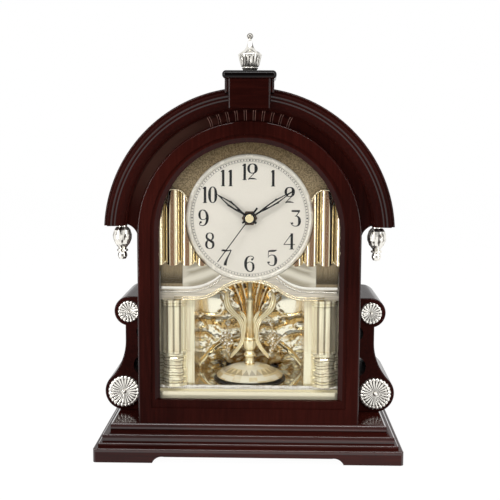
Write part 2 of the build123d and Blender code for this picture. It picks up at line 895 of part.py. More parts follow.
# Outlines of the hands: places along the hand as shares of its length, half widths as shares of its width
hand_outline_shares = [(0.00, 0.34), (0.24, 0.34), (0.36, 0.62), (0.59, 0.86), (0.595, 1.00), (0.62, 1.00),
                       (0.63, 0.76), (0.84, 0.36), (1.00, 0.06)]
hand_slot_shares = [(0.38, 0.06), (0.45, 0.24), (0.62, 0.32), (0.82, 0.07)]


def mirrored_outline(shares, length, half_width):
    """A face from points on one side of a hand, repeated on its other side."""
    points = [(w * half_width, a * length) for a, w in shares]
    points += [(-x, z) for x, z in reversed(points)]
    return make_face(Polyline(*points, close=True))


def pointer(length, half_width, pipe, front, angle):
    """A slotted hand with a round boss and a blunt tail, turned to its place on the dial."""
    tail_half = half_width * hand_outline_shares[0][1]
    face = mirrored_outline(hand_outline_shares, length, half_width)
    face += Pos(0, -hand_tail / 2) * Rectangle(2 * tail_half, hand_tail)
    face += Circle(boss_radius)
    face -= mirrored_outline(hand_slot_shares, length, half_width)
    face -= Circle(pipe)
    return Pos(0, 0, dial_z) * (Rot(0, angle, 0) * slab(face, front, front + hand_thick))


def hour_hand():
    """The hour hand, pressed on the hour wheel's pipe."""
    return pointer(hour_length, hour_half_width, hour_pipe, hour_front, hour_angle)


def minute_hand():
    """The minute hand, pressed on the centre wheel's pipe."""
    return pointer(minute_length, minute_half_width, minute_pipe, minute_front, minute_angle)


def second_hand():
    """The second hand, with its blunt tail."""
    whole = second_length + second_tail
    blade = Pos(0, whole / 2 - second_tail) * Rectangle(second_half_width, whole)
    tail = Pos(0, -second_tail / 2) * Rectangle(2 * second_half_width, second_tail)
    face = blade + tail + Circle(cap_radius - second_half_width) - Circle(second_arbor)
    hand = slab(face, second_front, second_front + hand_thick)
    return Pos(0, 0, dial_z) * (Rot(0, second_angle, 0) * hand)


def centre_cap():
    """The turned cap on the end of the second wheel's arbor."""
    cap = rod_y(0, dial_z, cap_radius, second_front - cap_thick, second_front)
    cap = fillet(edges_at(cap, Axis.Y, second_front - cap_thick), cap_thick / 2)
    return cap - rod_y(0, dial_z, second_arbor, second_front - cap_thick / 2, second_front + overrun)


def hex_nut():
    """The nut that clamps the movement's threaded tube to the dial."""
    nut = slab(Pos(0, dial_z) * RegularPolygon(nut_radius, nut_sides), nut_front, dial_front)
    return nut - rod_y(0, dial_z, tube_radius, nut_front - overrun, dial_front + overrun)


# Teeth of each wheel and pinion in the train
rotor_teeth, intermediate_teeth = 8, 48
intermediate_pinion, second_teeth = 8, 40
second_pinion, third_teeth = 8, 64
third_pinion, centre_teeth = 8, 60
centre_pinion, minute_teeth = 12, 36
minute_pinion, hour_teeth = 10, 40

# Directions from the dial's middle to the arbors, in degrees from the right, and the rotor's from its wheel
third_direction = 90.0
half_turn = 180.0
minute_direction = 0.0
intermediate_direction = 210.0
rotor_direction = 270.0

# Shape of a tooth: heights in modules, widths as shares of the pitch
tooth_heights = (0.80, 1.10)
tooth_width_shares = (0.20, 0.58)


def polar(distance, direction, start=(0, 0)):
    """The point at a distance and direction from another."""
    turn = math.radians(direction)
    return start[0] + distance * math.cos(turn), start[1] + distance * math.sin(turn)


third_at = polar(train_distance, third_direction)
minute_at = polar(train_distance, minute_direction)
intermediate_at = polar(train_distance, intermediate_direction)
rotor_at = polar(rotor_distance, rotor_direction, intermediate_at)


def layer_y(layer):
    """The front of one layer of wheels, counted from the dial's side."""
    return movement_front + movement_wall + (layer + 0.5) * layer_pitch - gear_thick / 2


def mesh_phase(direction, teeth, other_teeth):
    """The turn that puts a wheel's gap opposite the tooth of the wheel that it meshes with."""
    return direction + half_turn + half_turn / teeth + direction * other_teeth / teeth


def gear(at, teeth, module, layer, phase):
    """A toothed wheel in one layer of the train."""
    pitch_radius = module * teeth / 2
    tip = pitch_radius + tooth_heights[0] * module
    root = pitch_radius - tooth_heights[1] * module
    step = 2 * math.pi / teeth
    points = []
    for index in range(teeth):
        middle = math.radians(phase) + index * step
        for radius, turn in ((root, -tooth_width_shares[1]), (tip, -tooth_width_shares[0]),
                             (tip, tooth_width_shares[0]), (root, tooth_width_shares[1])):
            points.append(polar(radius, math.degrees(middle + turn * step / 2)))
    face = make_face(Polyline(*points, close=True))
    y = layer_y(layer)
    return slab(Pos(at[0], dial_z + at[1]) * face, y, y + gear_thick)


def arbor(at, radius=arbor_radius, front=None, back=None):
    """A wheel's arbor, from the pivot hole in the case to the one in the cover."""
    y0 = movement_front + running_gap if front is None else front
    y1 = movement_back - running_gap if back is None else back
    return rod_y(at[0], dial_z + at[1], radius, y0, y1)


def pinion_link(at, radius, front_layer, back_layer):
    """The sleeve that joins a pinion to its wheel in the next layer."""
    return rod_y(at[0], dial_z + at[1], radius, layer_y(front_layer) + gear_thick / 2,
                 layer_y(back_layer) + gear_thick / 2)


centre = (0, 0)
final_module = 2 * train_distance / (minute_pinion + hour_teeth)
motion_module = 2 * train_distance / (centre_pinion + minute_teeth)
centre_module = 2 * train_distance / (third_pinion + centre_teeth)
third_module = 2 * train_distance / (second_pinion + third_teeth)
second_module = 2 * train_distance / (intermediate_pinion + second_teeth)
rotor_module = 2 * rotor_distance / (rotor_teeth + intermediate_teeth)
sleeve_radius = 2 * arbor_radius


def rotor():
    """The stepping motor's magnet with its pinion."""
    pinion = gear(rotor_at, rotor_teeth, rotor_module, 5, 0)
    y = layer_y(6)
    magnet = rod_y(rotor_at[0], dial_z + rotor_at[1], rotor_radius, y, y + gear_thick)
    return pinion + magnet + arbor(rotor_at)


def intermediate_wheel():
    """The wheel that the rotor drives, with the pinion for the second wheel."""
    phase = mesh_phase(rotor_direction + half_turn, intermediate_teeth, rotor_teeth)
    wheel = gear(intermediate_at, intermediate_teeth, rotor_module, 5, phase)
    pinion = gear(intermediate_at, intermediate_pinion, second_module, 4, 0)
    return wheel + pinion + pinion_link(intermediate_at, sleeve_radius, 4, 5) + arbor(intermediate_at)


def second_wheel():
    """The second wheel, with its pinion and the long arbor that carries the second hand."""
    phase = mesh_phase(intermediate_direction + half_turn, second_teeth, intermediate_pinion)
    wheel = gear(centre, second_teeth, second_module, 4, phase)
    pinion = gear(centre, second_pinion, third_module, 3, 0)
    front = second_front - cap_thick / 2
    return wheel + pinion + pinion_link(centre, second_arbor, 3, 4) + arbor(centre, second_arbor, front)


def third_wheel():
    """The third wheel, with the pinion for the centre wheel."""
    phase = mesh_phase(third_direction, third_teeth, second_pinion)
    wheel = gear(third_at, third_teeth, third_module, 3, phase)
    pinion = gear(third_at, third_pinion, centre_module, 2, 0)
    return wheel + pinion + pinion_link(third_at, sleeve_radius, 2, 3) + arbor(third_at)


def centre_wheel():
    """The centre wheel, with its pinion and the pipe that carries the minute hand."""
    phase = mesh_phase(third_direction + half_turn, centre_teeth, third_pinion)
    wheel = gear(centre, centre_teeth, centre_module, 2, phase)
    pinion = gear(centre, centre_pinion, motion_module, 1, 0)
    pipe = rod_y(0, dial_z, minute_pipe, minute_front, layer_y(2) + gear_thick)
    bore = rod_y(0, dial_z, second_arbor + running_gap, minute_front - overrun, movement_back)
    return wheel + pinion + pipe - bore


def minute_wheel():
    """The wheel between the centre wheel and the hour wheel, on the setting arbor."""
    phase = mesh_phase(minute_direction, minute_teeth, centre_pinion)
    wheel = gear(minute_at, minute_teeth, motion_module, 1, phase)
    pinion = gear(minute_at, minute_pinion, final_module, 0, 0)
    setting = arbor(minute_at, arbor_radius, None, movement_back + knob_length / 2)
    return wheel + pinion + pinion_link(minute_at, sleeve_radius, 0, 1) + setting


def hour_wheel():
    """The hour wheel, with the pipe that carries the hour hand."""
    phase = mesh_phase(minute_direction + half_turn, hour_teeth, minute_pinion)
    wheel = gear(centre, hour_teeth, final_module, 0, phase)
    pipe = rod_y(0, dial_z, hour_pipe, hour_front, layer_y(0) + gear_thick)
    bore = rod_y(0, dial_z, minute_pipe + running_gap, hour_front - overrun, movement_back)
    return wheel + pipe - bore


def set_knob():
    """The ribbed knob at the back that sets the hands."""
    y0 = movement_back + seat_gap
    y1 = movement_back + knob_length
    x, z = minute_at[0], dial_z + minute_at[1]
    knob = rod_y(x, z, knob_radius, y0, y1)
    for index in range(knob_ribs):
        turn = 360 * index / knob_ribs
        gx, gz = polar(knob_radius, turn, (x, z))
        knob -= rod_y(gx, gz, rib_radius, y0 - overrun, y1 + overrun)
    return knob - rod_y(x, z, arbor_radius, y0 - overrun, movement_back + knob_length / 2)


def pivot_holes(y0, y1):
    """The bearing holes for the arbors that run between the case and its cover."""
    places = [third_at, minute_at, intermediate_at, rotor_at]
    return group(*[rod_y(x, dial_z + z, arbor_radius + running_gap, y0, y1) for x, z in places])


def movement_case():
    """The front half of the movement: a tray for the train, a bay for the cell, the threaded tube."""
    low = dial_z + movement_up - 2 * movement_half
    high = dial_z + movement_up
    bay_top = low + bay_height
    cover_front = movement_back - movement_wall
    shell = block(-movement_half, movement_half, movement_front, movement_back, low, high)
    inner = movement_half - movement_wall
    room_front = movement_front + movement_wall
    room_low = bay_top + movement_wall
    room = block(-inner, inner, room_front, movement_back + overrun, room_low, high - movement_wall)
    bay = block(-inner, inner, room_front, movement_back + overrun, low + movement_wall, bay_top)
    tube = rod_y(0, dial_z, tube_radius, nut_front, room_front)
    body = shell - room - bay + tube
    body -= rod_y(0, dial_z, hour_pipe + running_gap, nut_front - overrun, cover_front)
    body -= pivot_holes(movement_front - overrun, cover_front)
    back = movement_back + overrun
    ledge = block(-movement_half, movement_half, cover_front, back, bay_top, high + overrun)
    return body - ledge


def movement_cover():
    """The plate that closes the train at the back, with the arbors' rear bearings."""
    low = dial_z + movement_up - 2 * movement_half + bay_height
    plate = block(-movement_half, movement_half, movement_back - movement_wall, movement_back,
                  low, dial_z + movement_up)
    holes = pivot_holes(movement_back - movement_wall - overrun, movement_back + overrun)
    middle = rod_y(0, dial_z, second_arbor + running_gap, movement_back - movement_wall - overrun,
                   movement_back + overrun)
    return plate - holes - middle


def movement_coil():
    """The stepping motor's coil, its core and the stator plate round the rotor."""
    y = layer_y(6)
    x, z = rotor_at[0], dial_z + rotor_at[1]
    ring = rotor_radius + stator_gap
    plate = block(x - 2 * ring, coil_reach, y, y + gear_thick, z - ring - stator_gap, z + ring + stator_gap)
    plate -= rod_y(x, z, ring, y - overrun, y + gear_thick + overrun)
    coil_y = layer_y(5)
    low = z - ring
    core = block(coil_reach - coil_radius / 2, coil_reach + coil_radius / 2, coil_y, y + gear_thick, low,
                 low + coil_length)
    winding = rod_z(coil_reach, coil_y, coil_radius, low + ring, low + coil_length - ring)
    return plate + core + winding


def battery():
    """The cell in the movement's bay, with its button end."""
    low = dial_z + movement_up - 2 * movement_half
    y = movement_front + movement_wall + battery_radius + running_gap
    z = low + bay_height / 2 + movement_wall / 2
    cell = rod_x(y, z, battery_radius, -battery_length / 2, battery_length / 2)
    nub = rod_x(y, z, battery_radius * battery_nub_shares[0], battery_length / 2,
                battery_length / 2 + battery_radius * battery_nub_shares[1])
    return cell + nub


def facets(low, high):
    """The diamond cut cone of triangles between a wide and a narrow ring."""
    step = 360 / facet_count
    wide = [polar(facet_radius, index * step) for index in range(facet_count)]
    narrow = [polar(hub_radius, (index + 0.5) * step) for index in range(facet_count)]
    bottom = [(x, y, low) for x, y in wide]
    top = [(x, y, high) for x, y in narrow]
    faces = [make_face(Polyline(*bottom, close=True)), make_face(Polyline(*top, close=True))]
    for index in range(facet_count):
        after = (index + 1) % facet_count
        faces.append(make_face(Polyline(bottom[index], bottom[after], top[index], close=True)))
        faces.append(make_face(Polyline(top[index], top[after], bottom[after], close=True)))
    return Solid(Shell(faces))


def pendulum_disc():
    """The disc that turns over the floor, faceted round its hub."""
    edge_top = disc_low + disc_edge
    facet_low = edge_top + disc_edge / 4
    dish = turned([(0, disc_low), (disc_radius - disc_edge / 2, disc_low),
                   (disc_radius, disc_low + disc_edge / 3), (disc_radius, disc_low + disc_edge / 2),
                   (facet_radius, facet_low), (0, facet_low)], 0, pendulum_y)
    cone = Pos(0, pendulum_y, 0) * facets(facet_low, disc_top)
    bore = rod_z(0, pendulum_y, pivot_radius + running_gap, disc_low - overrun, disc_low + pivot_depth)
    return dish + cone - bore


def pendulum_magnet():
    """The magnet ring under the disc."""
    ring = Circle(magnet_radius) - Circle(magnet_radius - magnet_width)
    return Pos(0, pendulum_y, disc_low - magnet_thick) * extrude(ring, magnet_thick)


def pendulum_well():
    """The dark ring on the floor round the drive."""
    ring = Circle(well_radius) - Circle(well_radius - well_width)
    return Pos(0, pendulum_y, floor_top) * extrude(ring, well_thick)


# The lyre's column: radii as shares of its radius, heights as shares of its height above the disc
stem_shares = [
    (1.20, 0.000), (1.20, 0.047), (0.95, 0.053), (1.50, 0.060), (1.50, 0.120), (0.95, 0.130), (0.95, 0.150),
    (1.40, 0.170), (1.52, 0.210), (1.40, 0.250), (1.00, 0.275), (0.72, 0.652), (0.86, 0.660), (0.86, 0.685),
    (0.55, 0.690), (0.55, 1.000),
]
# Points of an arm: sideways as shares of its reach, upwards as shares of the lyre's height
arm_upper_shares = [(0.886, 0.775), (0.968, 0.633), (0.614, 0.504)]
arm_lower_shares = [(0.614, 0.504), (0.227, 0.325), (0.627, 0.109)]
curl_shares = [(0.614, 0.498), (0.795, 0.501), (0.891, 0.454)]


def share_points(shares):
    """The points of an arm in the picture plane, from its shares."""
    return [(x * arm_reach, disc_top + z * lyre_height) for x, z in shares]


def lyre_arm():
    """One arm of the lyre: an S of two arcs with a small curl."""
    upper = ThreePointArc(*share_points(arm_upper_shares))
    lower = ThreePointArc(*share_points(arm_lower_shares))
    curl = ThreePointArc(*share_points(curl_shares))
    face = trace(upper, arm_width) + trace(lower, arm_width) + trace(curl, arm_width / 2)
    face += Pos(*share_points(arm_upper_shares)[0]) * Circle(arm_width / 2)
    face += Pos(*share_points(arm_lower_shares)[2]) * Circle(arm_width / 2)
    return slab(face, pendulum_y - arm_thick / 2, pendulum_y + arm_thick / 2)


def pendulum_lyre():
    """The lyre: a turned column with two curved arms and a guide pin at its top."""
    points = [(0, disc_top)]
    points += [(r * stem_radius, disc_top + h * lyre_height) for r, h in stem_shares]
    points += [(0, points[-1][1])]
    pin_top = panel_low + guide_radius
    pin = rod_z(0, pendulum_y, guide_radius, points[-1][1] - guide_radius, pin_top)
    arm = lyre_arm()
    return turned(points, 0, pendulum_y) + pin + arm + mirror(arm, Plane.YZ)


# Places of a crystal flower and its beads: sideways shares of the arm's reach, upward shares of the height
flower_shares = [(0.882, 0.263)]
bead_shares = [(0.882, 0.417), (0.814, 0.143)]


def crystals():
    """The two flowers of cut glass in the lyre's arms, each between two beads."""
    x, z = share_points(flower_shares)[0]
    flower = rod_y(x, z, flower_radius, pendulum_y - flower_thick / 2, pendulum_y + flower_thick / 2)
    flower = chamfer(flower.edges().filter_by(GeomType.CIRCLE), flower_thick / 4)
    for index in range(flower_petals):
        px, pz = polar(flower_radius, 360 * index / flower_petals, (x, z))
        flower -= rod_y(px, pz, petal_groove / 2, pendulum_y - flower_thick, pendulum_y + flower_thick)
    string = flower
    for bx, bz in share_points(bead_shares):
        string += Pos(bx, pendulum_y, bz) * Sphere(bead_radius)
        string += slab(trace(Line((x, z), (bx, bz)), wire_width), pendulum_y - wire_width / 2,
                       pendulum_y + wire_width / 2)
    string -= pendulum_lyre()
    return both_sides(string.solids().sort_by(SortBy.VOLUME)[-1])


def drive_case():
    """The pendulum's drive housing under the stage floor, with the pivot on top."""
    top = floor_bottom - seat_gap
    y0 = pendulum_y - drive_depth / 2
    y1 = pendulum_y + drive_depth / 2
    shell = block(-drive_half, drive_half, y0, y1, deck_top, top)
    shell -= block(-drive_half + drive_wall, drive_half - drive_wall, y0 + drive_wall, y1 - drive_wall,
                   deck_top - overrun, top - drive_wall)
    pivot = rod_z(0, pendulum_y, pivot_radius, top - drive_wall, disc_low + pivot_depth - seat_gap)
    return shell + pivot


def drive_coil():
    """The coil that pushes the pendulum's magnet, hung under the housing's top."""
    top = floor_bottom - seat_gap - drive_wall
    low = top - drive_coil_height
    spool = rod_z(0, pendulum_y, drive_coil_radius, low, top)
    waist = Circle(drive_coil_radius + overrun) - Circle(drive_coil_radius - drive_wall / 2)
    spool -= Pos(0, pendulum_y, low + drive_wall) * extrude(waist, drive_coil_height - 2 * drive_wall)
    return spool - rod_z(0, pendulum_y, pivot_radius, low - overrun, top + overrun)


def drive_battery():
    """The cell inside the drive housing, behind the coil."""
    y = pendulum_y + drive_coil_radius + battery_radius + seat_gap
    z = deck_top + battery_radius + running_gap
    return rod_x(y, z, battery_radius, -battery_length / 2, battery_length / 2)


def door_z():
    """The lowest and highest level of the back door."""
    low = deck_top + door_rise
    return low, low + door_height


def hinge_axis():
    """The line of the hinge pins, seen from above."""
    return -door_width / 2 - barrel_radius - door_gap, door_back


def hinge_heights():
    """The lowest level of each hinge."""
    low, high = door_z()
    return low + leaf_inset, high - leaf_inset - leaf_height


def knuckle(z0, z1, radius):
    """A length of hinge barrel or pin."""
    x, y = hinge_axis()
    return rod_z(x, y, radius, z0, z1)


def hinge_frame_leaves():
    """The hinge leaves on the back board, with their end knuckles and pins."""
    x, y = hinge_axis()
    leaves = []
    for low in hinge_heights():
        third = leaf_height / 3
        high = low + leaf_height
        leaf = block(x - leaf_width, x - barrel_radius / 2, case_back, case_back + leaf_thick, low, high)
        for z0 in (low, low + 2 * third):
            leaf += block(x - barrel_radius, x, case_back, y, z0, z0 + third)
            leaf += knuckle(z0, z0 + third, barrel_radius)
        gap = knuckle(low + third, low + 2 * third, barrel_radius + seat_gap)
        leaves.append(leaf - gap + knuckle(low, high, pin_radius))
    return group(*leaves)


def hinge_door_leaves():
    """The hinge leaves on the door, with their middle knuckles."""
    x, y = hinge_axis()
    leaves = []
    for low in hinge_heights():
        third = leaf_height / 3
        z0 = low + third + running_gap
        z1 = low + 2 * third - running_gap
        edge = x + barrel_radius + door_gap
        leaf = block(edge, x + leaf_width, y, y + leaf_thick, low, low + leaf_height)
        leaf += block(x, edge, y, y + leaf_thick, z0, z1)
        leaf += knuckle(z0, z1, barrel_radius)
        leaves.append(leaf - knuckle(low - overrun, low + leaf_height + overrun, pin_radius + running_gap))
    return group(*leaves)


def knob_place():
    """Where the door's knob goes through it."""
    low, high = door_z()
    return door_width / 2 - door_lap - knob_disc - running_gap * 2, (low + high) / 2


def back_door():
    """The door that closes the back, over the opening's edges."""
    low, high = door_z()
    half = door_width / 2
    door = block(-half, half, door_front, door_back, low, high)
    door = fillet(edges_at(door, Axis.Y, door_back), edge_round / 2)
    x, z = knob_place()
    return door - rod_y(x, z, pin_radius, door_front - overrun, door_back + overrun)


def door_knob():
    """The knob, its bolt through the door and the steel disc that the magnet holds."""
    x, z = knob_place()
    neck, waist, rim = [knob_disc * share for share in grip_shares]
    grip = turned([(0, 0), (neck, 0), (waist, door_knob_length / 2), (rim, door_knob_length),
                   (0, door_knob_length)], 0, 0)
    grip = Pos(x, door_back, z) * (Rot(-90, 0, 0) * grip)
    bolt = rod_y(x, z, pin_radius, door_front, door_back)
    strike = rod_y(x, z, knob_disc, door_front - strike_thick, door_front)
    return grip + bolt + strike


def door_magnet():
    """The magnet on the opening's edge that holds the door shut."""
    half = door_width / 2 - door_lap
    back = door_front - strike_thick - seat_gap
    z = knob_place()[1]
    return block(half - magnet_block, half, back_front, back, z - magnet_block, z + magnet_block)


def left_of(part):
    """The same piece for the left side."""
    return mirror(part, Plane.YZ)


pieces = [
    felt_pads, base_plinth, base_moulding, base_deck, front_frame, front_board, front_glass, back_frame,
    roof_shell, roof_moulding, keystone, finial, pendants, rosettes, stage, back_mirror, side_mirrors,
    pilasters, valance, cornice, wings, dial_panel, upper_reeds, dial_plate, dial_bezel, hour_hand,
    minute_hand, second_hand, centre_cap, hex_nut, rotor, intermediate_wheel, second_wheel, third_wheel,
    centre_wheel, minute_wheel, hour_wheel, set_knob, movement_case, movement_cover, movement_coil, battery,
    pendulum_disc, pendulum_magnet, pendulum_well, pendulum_lyre, crystals, drive_case, drive_coil,
    drive_battery, hinge_frame_leaves, hinge_door_leaves, back_door, door_knob, door_magnet,
]

os.makedirs("parts", exist_ok=True)
made = {piece.__name__: piece() for piece in pieces}
for name, part in (("side", side_panel()), ("scroll", scroll_bracket())):
    made[name + "_right"] = part
    made[name + "_left"] = left_of(part)
for name, part in made.items():
    export_step(part, os.path.join("parts", name + ".step"))
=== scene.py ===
"""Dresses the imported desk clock: lacquer, gilding, numerals, rosettes and relief, and the studio round it."""

import math

import bmesh
import bpy
from bpy.props import FloatProperty, FloatVectorProperty, IntProperty, PointerProperty
from mathutils import Matrix, Vector, noise


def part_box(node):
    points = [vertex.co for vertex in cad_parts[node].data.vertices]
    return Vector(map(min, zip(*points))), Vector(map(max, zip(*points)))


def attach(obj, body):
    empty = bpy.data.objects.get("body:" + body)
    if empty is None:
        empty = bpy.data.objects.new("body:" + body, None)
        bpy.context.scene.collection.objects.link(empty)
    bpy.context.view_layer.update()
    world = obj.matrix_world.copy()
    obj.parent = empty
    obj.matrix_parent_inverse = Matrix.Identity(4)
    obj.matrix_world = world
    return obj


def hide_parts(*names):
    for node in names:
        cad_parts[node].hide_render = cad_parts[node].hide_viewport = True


bl_info = {
    "name": "Desk clock dressing",
    "version": (1, 1, 0),
    "blender": (4, 5, 0),
    "location": "3D View > Sidebar > Clock",
    "description": "Finishes, numerals, rosettes, lyre, relief and studio for an arched desk clock",
    "category": "Object",
}

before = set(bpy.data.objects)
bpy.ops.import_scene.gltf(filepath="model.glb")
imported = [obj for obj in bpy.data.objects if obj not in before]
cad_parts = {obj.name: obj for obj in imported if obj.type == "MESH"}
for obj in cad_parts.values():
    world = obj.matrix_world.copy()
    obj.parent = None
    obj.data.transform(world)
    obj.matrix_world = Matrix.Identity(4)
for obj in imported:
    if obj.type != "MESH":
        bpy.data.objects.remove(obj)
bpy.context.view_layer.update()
MM = 0.001
FRONT = Matrix.Rotation(math.radians(90), 4, "X")  # a drawing's up becomes the clock's up, facing the front


def node_box(name):
    """The lowest and highest corner of a CAD node, as vectors."""
    low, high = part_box(name)
    return Vector(low), Vector(high)


DIAL_LOW, DIAL_HIGH = node_box("dial_plate")
DIAL_CENTRE = Vector((0, DIAL_LOW.y, (DIAL_LOW.z + DIAL_HIGH.z) / 2))
BEZEL_RADIUS = node_box("dial_bezel")[1].x
DISC_LOW, DISC_HIGH = node_box("pendulum_disc")
PENDULUM_Y = (DISC_LOW.y + DISC_HIGH.y) / 2
PANEL_FRONT = node_box("wings")[1].y
VALANCE_FRONT = node_box("valance")[0].y
STAGE_TOP = node_box("stage")[1].z
KEYSTONE_TOP = node_box("keystone")[1].z
ROOF_HIGH = node_box("roof_shell")[1]
ARCH_Z = ROOF_HIGH.z - ROOF_HIGH.x  # the roof is half a round: its centre is a radius below its top

# The reeds beside the dial, in millimetres: their pitch, the middle of the outermost, and how far their ends bow
REED_PITCH, REED_FIRST, REED_BOW = 12.05, 74.0, 3.4
# The columns, in metres: their middles, the pitch of their lobes, and the top of their pedestals
COLUMN_X, LOBE_PITCH, PEDESTAL_TOP = 0.0612, 0.0052, 0.0835


class WoodSettings(bpy.types.PropertyGroup):
    colour: FloatVectorProperty(name="Lacquer", description="Colour of the lacquered wood", subtype="COLOR",
                                default=(0.013, 0.0022, 0.0016))
    figure: FloatVectorProperty(name="Figure", description="Colour of the wood's redder parts", subtype="COLOR",
                                default=(0.032, 0.0052, 0.0036))
    gloss: FloatProperty(name="Roughness", description="Roughness of the lacquer", default=0.19, min=0, max=1)
    streak: FloatProperty(name="Streak length", description="Length of a streak in the grain", default=0.030,
                          subtype="DISTANCE", unit="LENGTH")


class MetalSettings(bpy.types.PropertyGroup):
    silver: FloatVectorProperty(name="Silver", description="Colour of the plated trim", subtype="COLOR",
                                default=(0.90, 0.87, 0.80))
    gold: FloatVectorProperty(name="Gold", description="Colour of the gilded pieces", subtype="COLOR",
                              default=(0.92, 0.81, 0.57))
    umber: FloatVectorProperty(name="Umber", description="Colour of the gilding's recesses", subtype="COLOR",
                               default=(0.54, 0.36, 0.125))
    champagne: FloatVectorProperty(name="Champagne", description="Colour of the sanded panels", subtype="COLOR",
                                   default=(0.36, 0.28, 0.17))
    satin: FloatVectorProperty(name="Satin", description="Colour of the arched apron", subtype="COLOR",
                               default=(0.70, 0.64, 0.54))
    polish: FloatProperty(name="Polish", description="Roughness of the brightest pieces", default=0.10,
                          min=0, max=1)
    sand: FloatProperty(name="Sand", description="Size of the sanded panels' grain", default=0.0011,
                        subtype="DISTANCE", unit="LENGTH")


class DialSettings(bpy.types.PropertyGroup):
    paper: FloatVectorProperty(name="Dial", description="Colour of the printed dial", subtype="COLOR",
                               default=(0.80, 0.76, 0.68))
    ink: FloatVectorProperty(name="Ink", description="Colour of the numerals", subtype="COLOR",
                             default=(0.012, 0.012, 0.013))
    numeral_height: FloatProperty(name="Numeral height", description="Height of the hour numerals",
                                  default=0.0131, subtype="DISTANCE", unit="LENGTH")
    weight: FloatProperty(name="Weight", description="Boldness of the numerals", default=1.14, min=0)
    numeral_radius: FloatProperty(name="Numeral ring", description="Radius on which the numerals stand",
                                  default=0.0371, subtype="DISTANCE", unit="LENGTH")
    track_inner: FloatProperty(name="Track inner radius", description="Inner radius of the minute track",
                               default=0.0454, subtype="DISTANCE", unit="LENGTH")
    track_outer: FloatProperty(name="Track outer radius", description="Outer radius of the minute track",
                               default=0.0474, subtype="DISTANCE", unit="LENGTH")
    marks: IntProperty(name="Marks", description="Marks round the minute track", default=120, min=60)


class OrnamentSettings(bpy.types.PropertyGroup):
    small_petals: IntProperty(name="Small petals", description="Petals of an upper rosette", default=17, min=8)
    large_petals: IntProperty(name="Large petals", description="Petals of a lower rosette", default=24, min=8)
    petal_height: FloatProperty(name="Petal height", description="How far a rosette stands proud",
                                default=0.0022, subtype="DISTANCE", unit="LENGTH")
    gadroons: IntProperty(name="Gadroons", description="Gadroons round the finial's cup", default=18, min=6)
    relief: FloatProperty(name="Relief", description="Depth of the relief on the back wall", default=0.0026,
                          subtype="DISTANCE", unit="LENGTH")
    edging: FloatProperty(name="Edging", description="Thickness of the bright edgings", default=0.0007,
                          subtype="DISTANCE", unit="LENGTH")


class StudioSettings(bpy.types.PropertyGroup):
    lens: FloatProperty(name="Lens", description="Focal length in millimetres", default=65.8)
    station: FloatVectorProperty(name="Camera", description="Where the camera stands", subtype="TRANSLATION",
                                 default=(0.0156, -0.7701, 0.2540))
    pitch: FloatProperty(name="Pitch", description="How far the camera looks down", subtype="ANGLE",
                         default=math.radians(6.677))
    yaw: FloatProperty(name="Yaw", description="How far the camera looks to the left", subtype="ANGLE",
                       default=math.radians(1.183))
    roll: FloatProperty(name="Roll", description="How far the camera leans", subtype="ANGLE",
                        default=math.radians(0.26))
    lamp: FloatProperty(name="Lamp power", description="Power of the overhead strip", default=8.5, subtype="POWER")
    fill: FloatProperty(name="Ambient", description="Strength of the room's soft light", default=0.38, min=0)


class ClockSettings(bpy.types.PropertyGroup):
    wood: PointerProperty(type=WoodSettings, name="Wood", description="The lacquered wood")
    metal: PointerProperty(type=MetalSettings, name="Metal", description="The plated and gilded pieces")
    dial: PointerProperty(type=DialSettings, name="Dial", description="The dial and its print")
    ornament: PointerProperty(type=OrnamentSettings, name="Ornament", description="Rosettes, finial and relief")
    studio: PointerProperty(type=StudioSettings, name="Studio", description="Camera and lamps")


def settings():
    """The clock's settings in this scene."""
    return bpy.context.scene.clock_settings


class Wire:
    """A number on its way through a tree of nodes, so that its maths reads as an expression."""

    def __init__(self, web, socket):
        self.web, self.socket = web, socket

    def maths(self, operation, *values):
        """One Math node on these values."""
        return self.web.node("ShaderNodeMath", {"operation": operation}, dict(enumerate(values)))

    def __add__(self, other):
        return self.maths("ADD", self, other)

    def __sub__(self, other):
        return self.maths("SUBTRACT", self, other)

    def __rsub__(self, other):
        return self.maths("SUBTRACT", other, self)

    def __mul__(self, other):
        return self.maths("MULTIPLY", self, other)

    def __truediv__(self, other):
        return self.maths("DIVIDE", self, other)

    def __rtruediv__(self, other):
        return self.maths("DIVIDE", other, self)

    def __neg__(self):
        return self.maths("MULTIPLY", self, -1)

    def __abs__(self):
        return self.maths("ABSOLUTE", self)

    def root(self):
        """The square root."""
        return self.maths("SQRT", self)

    def beside(self, pitch):
        """The distance to the nearest multiple of a pitch."""
        return self.maths("PINGPONG", self, pitch / 2)

    def most(self, other):
        """The greater of two values."""
        return self.maths("MAXIMUM", self, other)

    def above(self, edge, width):
        """0 below an edge and 1 above it, with a soft step of this width."""
        return self.web.node("ShaderNodeMapRange", {"interpolation_type": "SMOOTHSTEP"},
                             {"Value": self, "From Min": edge - width / 2, "From Max": edge + width / 2})

    def below(self, edge, width):
        """1 below an edge and 0 above it, with the same soft step."""
        return 1 - self.above(edge, width)

    __radd__ = __add__
    __rmul__ = __mul__


class Web:
    """The nodes of one tree."""

    def __init__(self, tree):
        self.tree = tree

    def connect(self, value, socket):
        """A wire, a colour or a number goes to a socket."""
        if isinstance(value, Wire):
            self.tree.links.new(value.socket, socket)
        elif hasattr(value, "__len__") and len(value) == 3 and socket.type == "RGBA":
            socket.default_value = (*value, 1)
        else:
            socket.default_value = value

    def node(self, kind, chosen=None, values=None, output=0):
        """A node of this type: its settings first, then its sockets; gives one of its outputs."""
        made = self.tree.nodes.new(kind)
        for name, value in (chosen or {}).items():
            setattr(made, name, value)
        for name, value in (values or {}).items():
            self.connect(value, made.inputs[name])
        return Wire(self, made.outputs[output]) if made.outputs else None


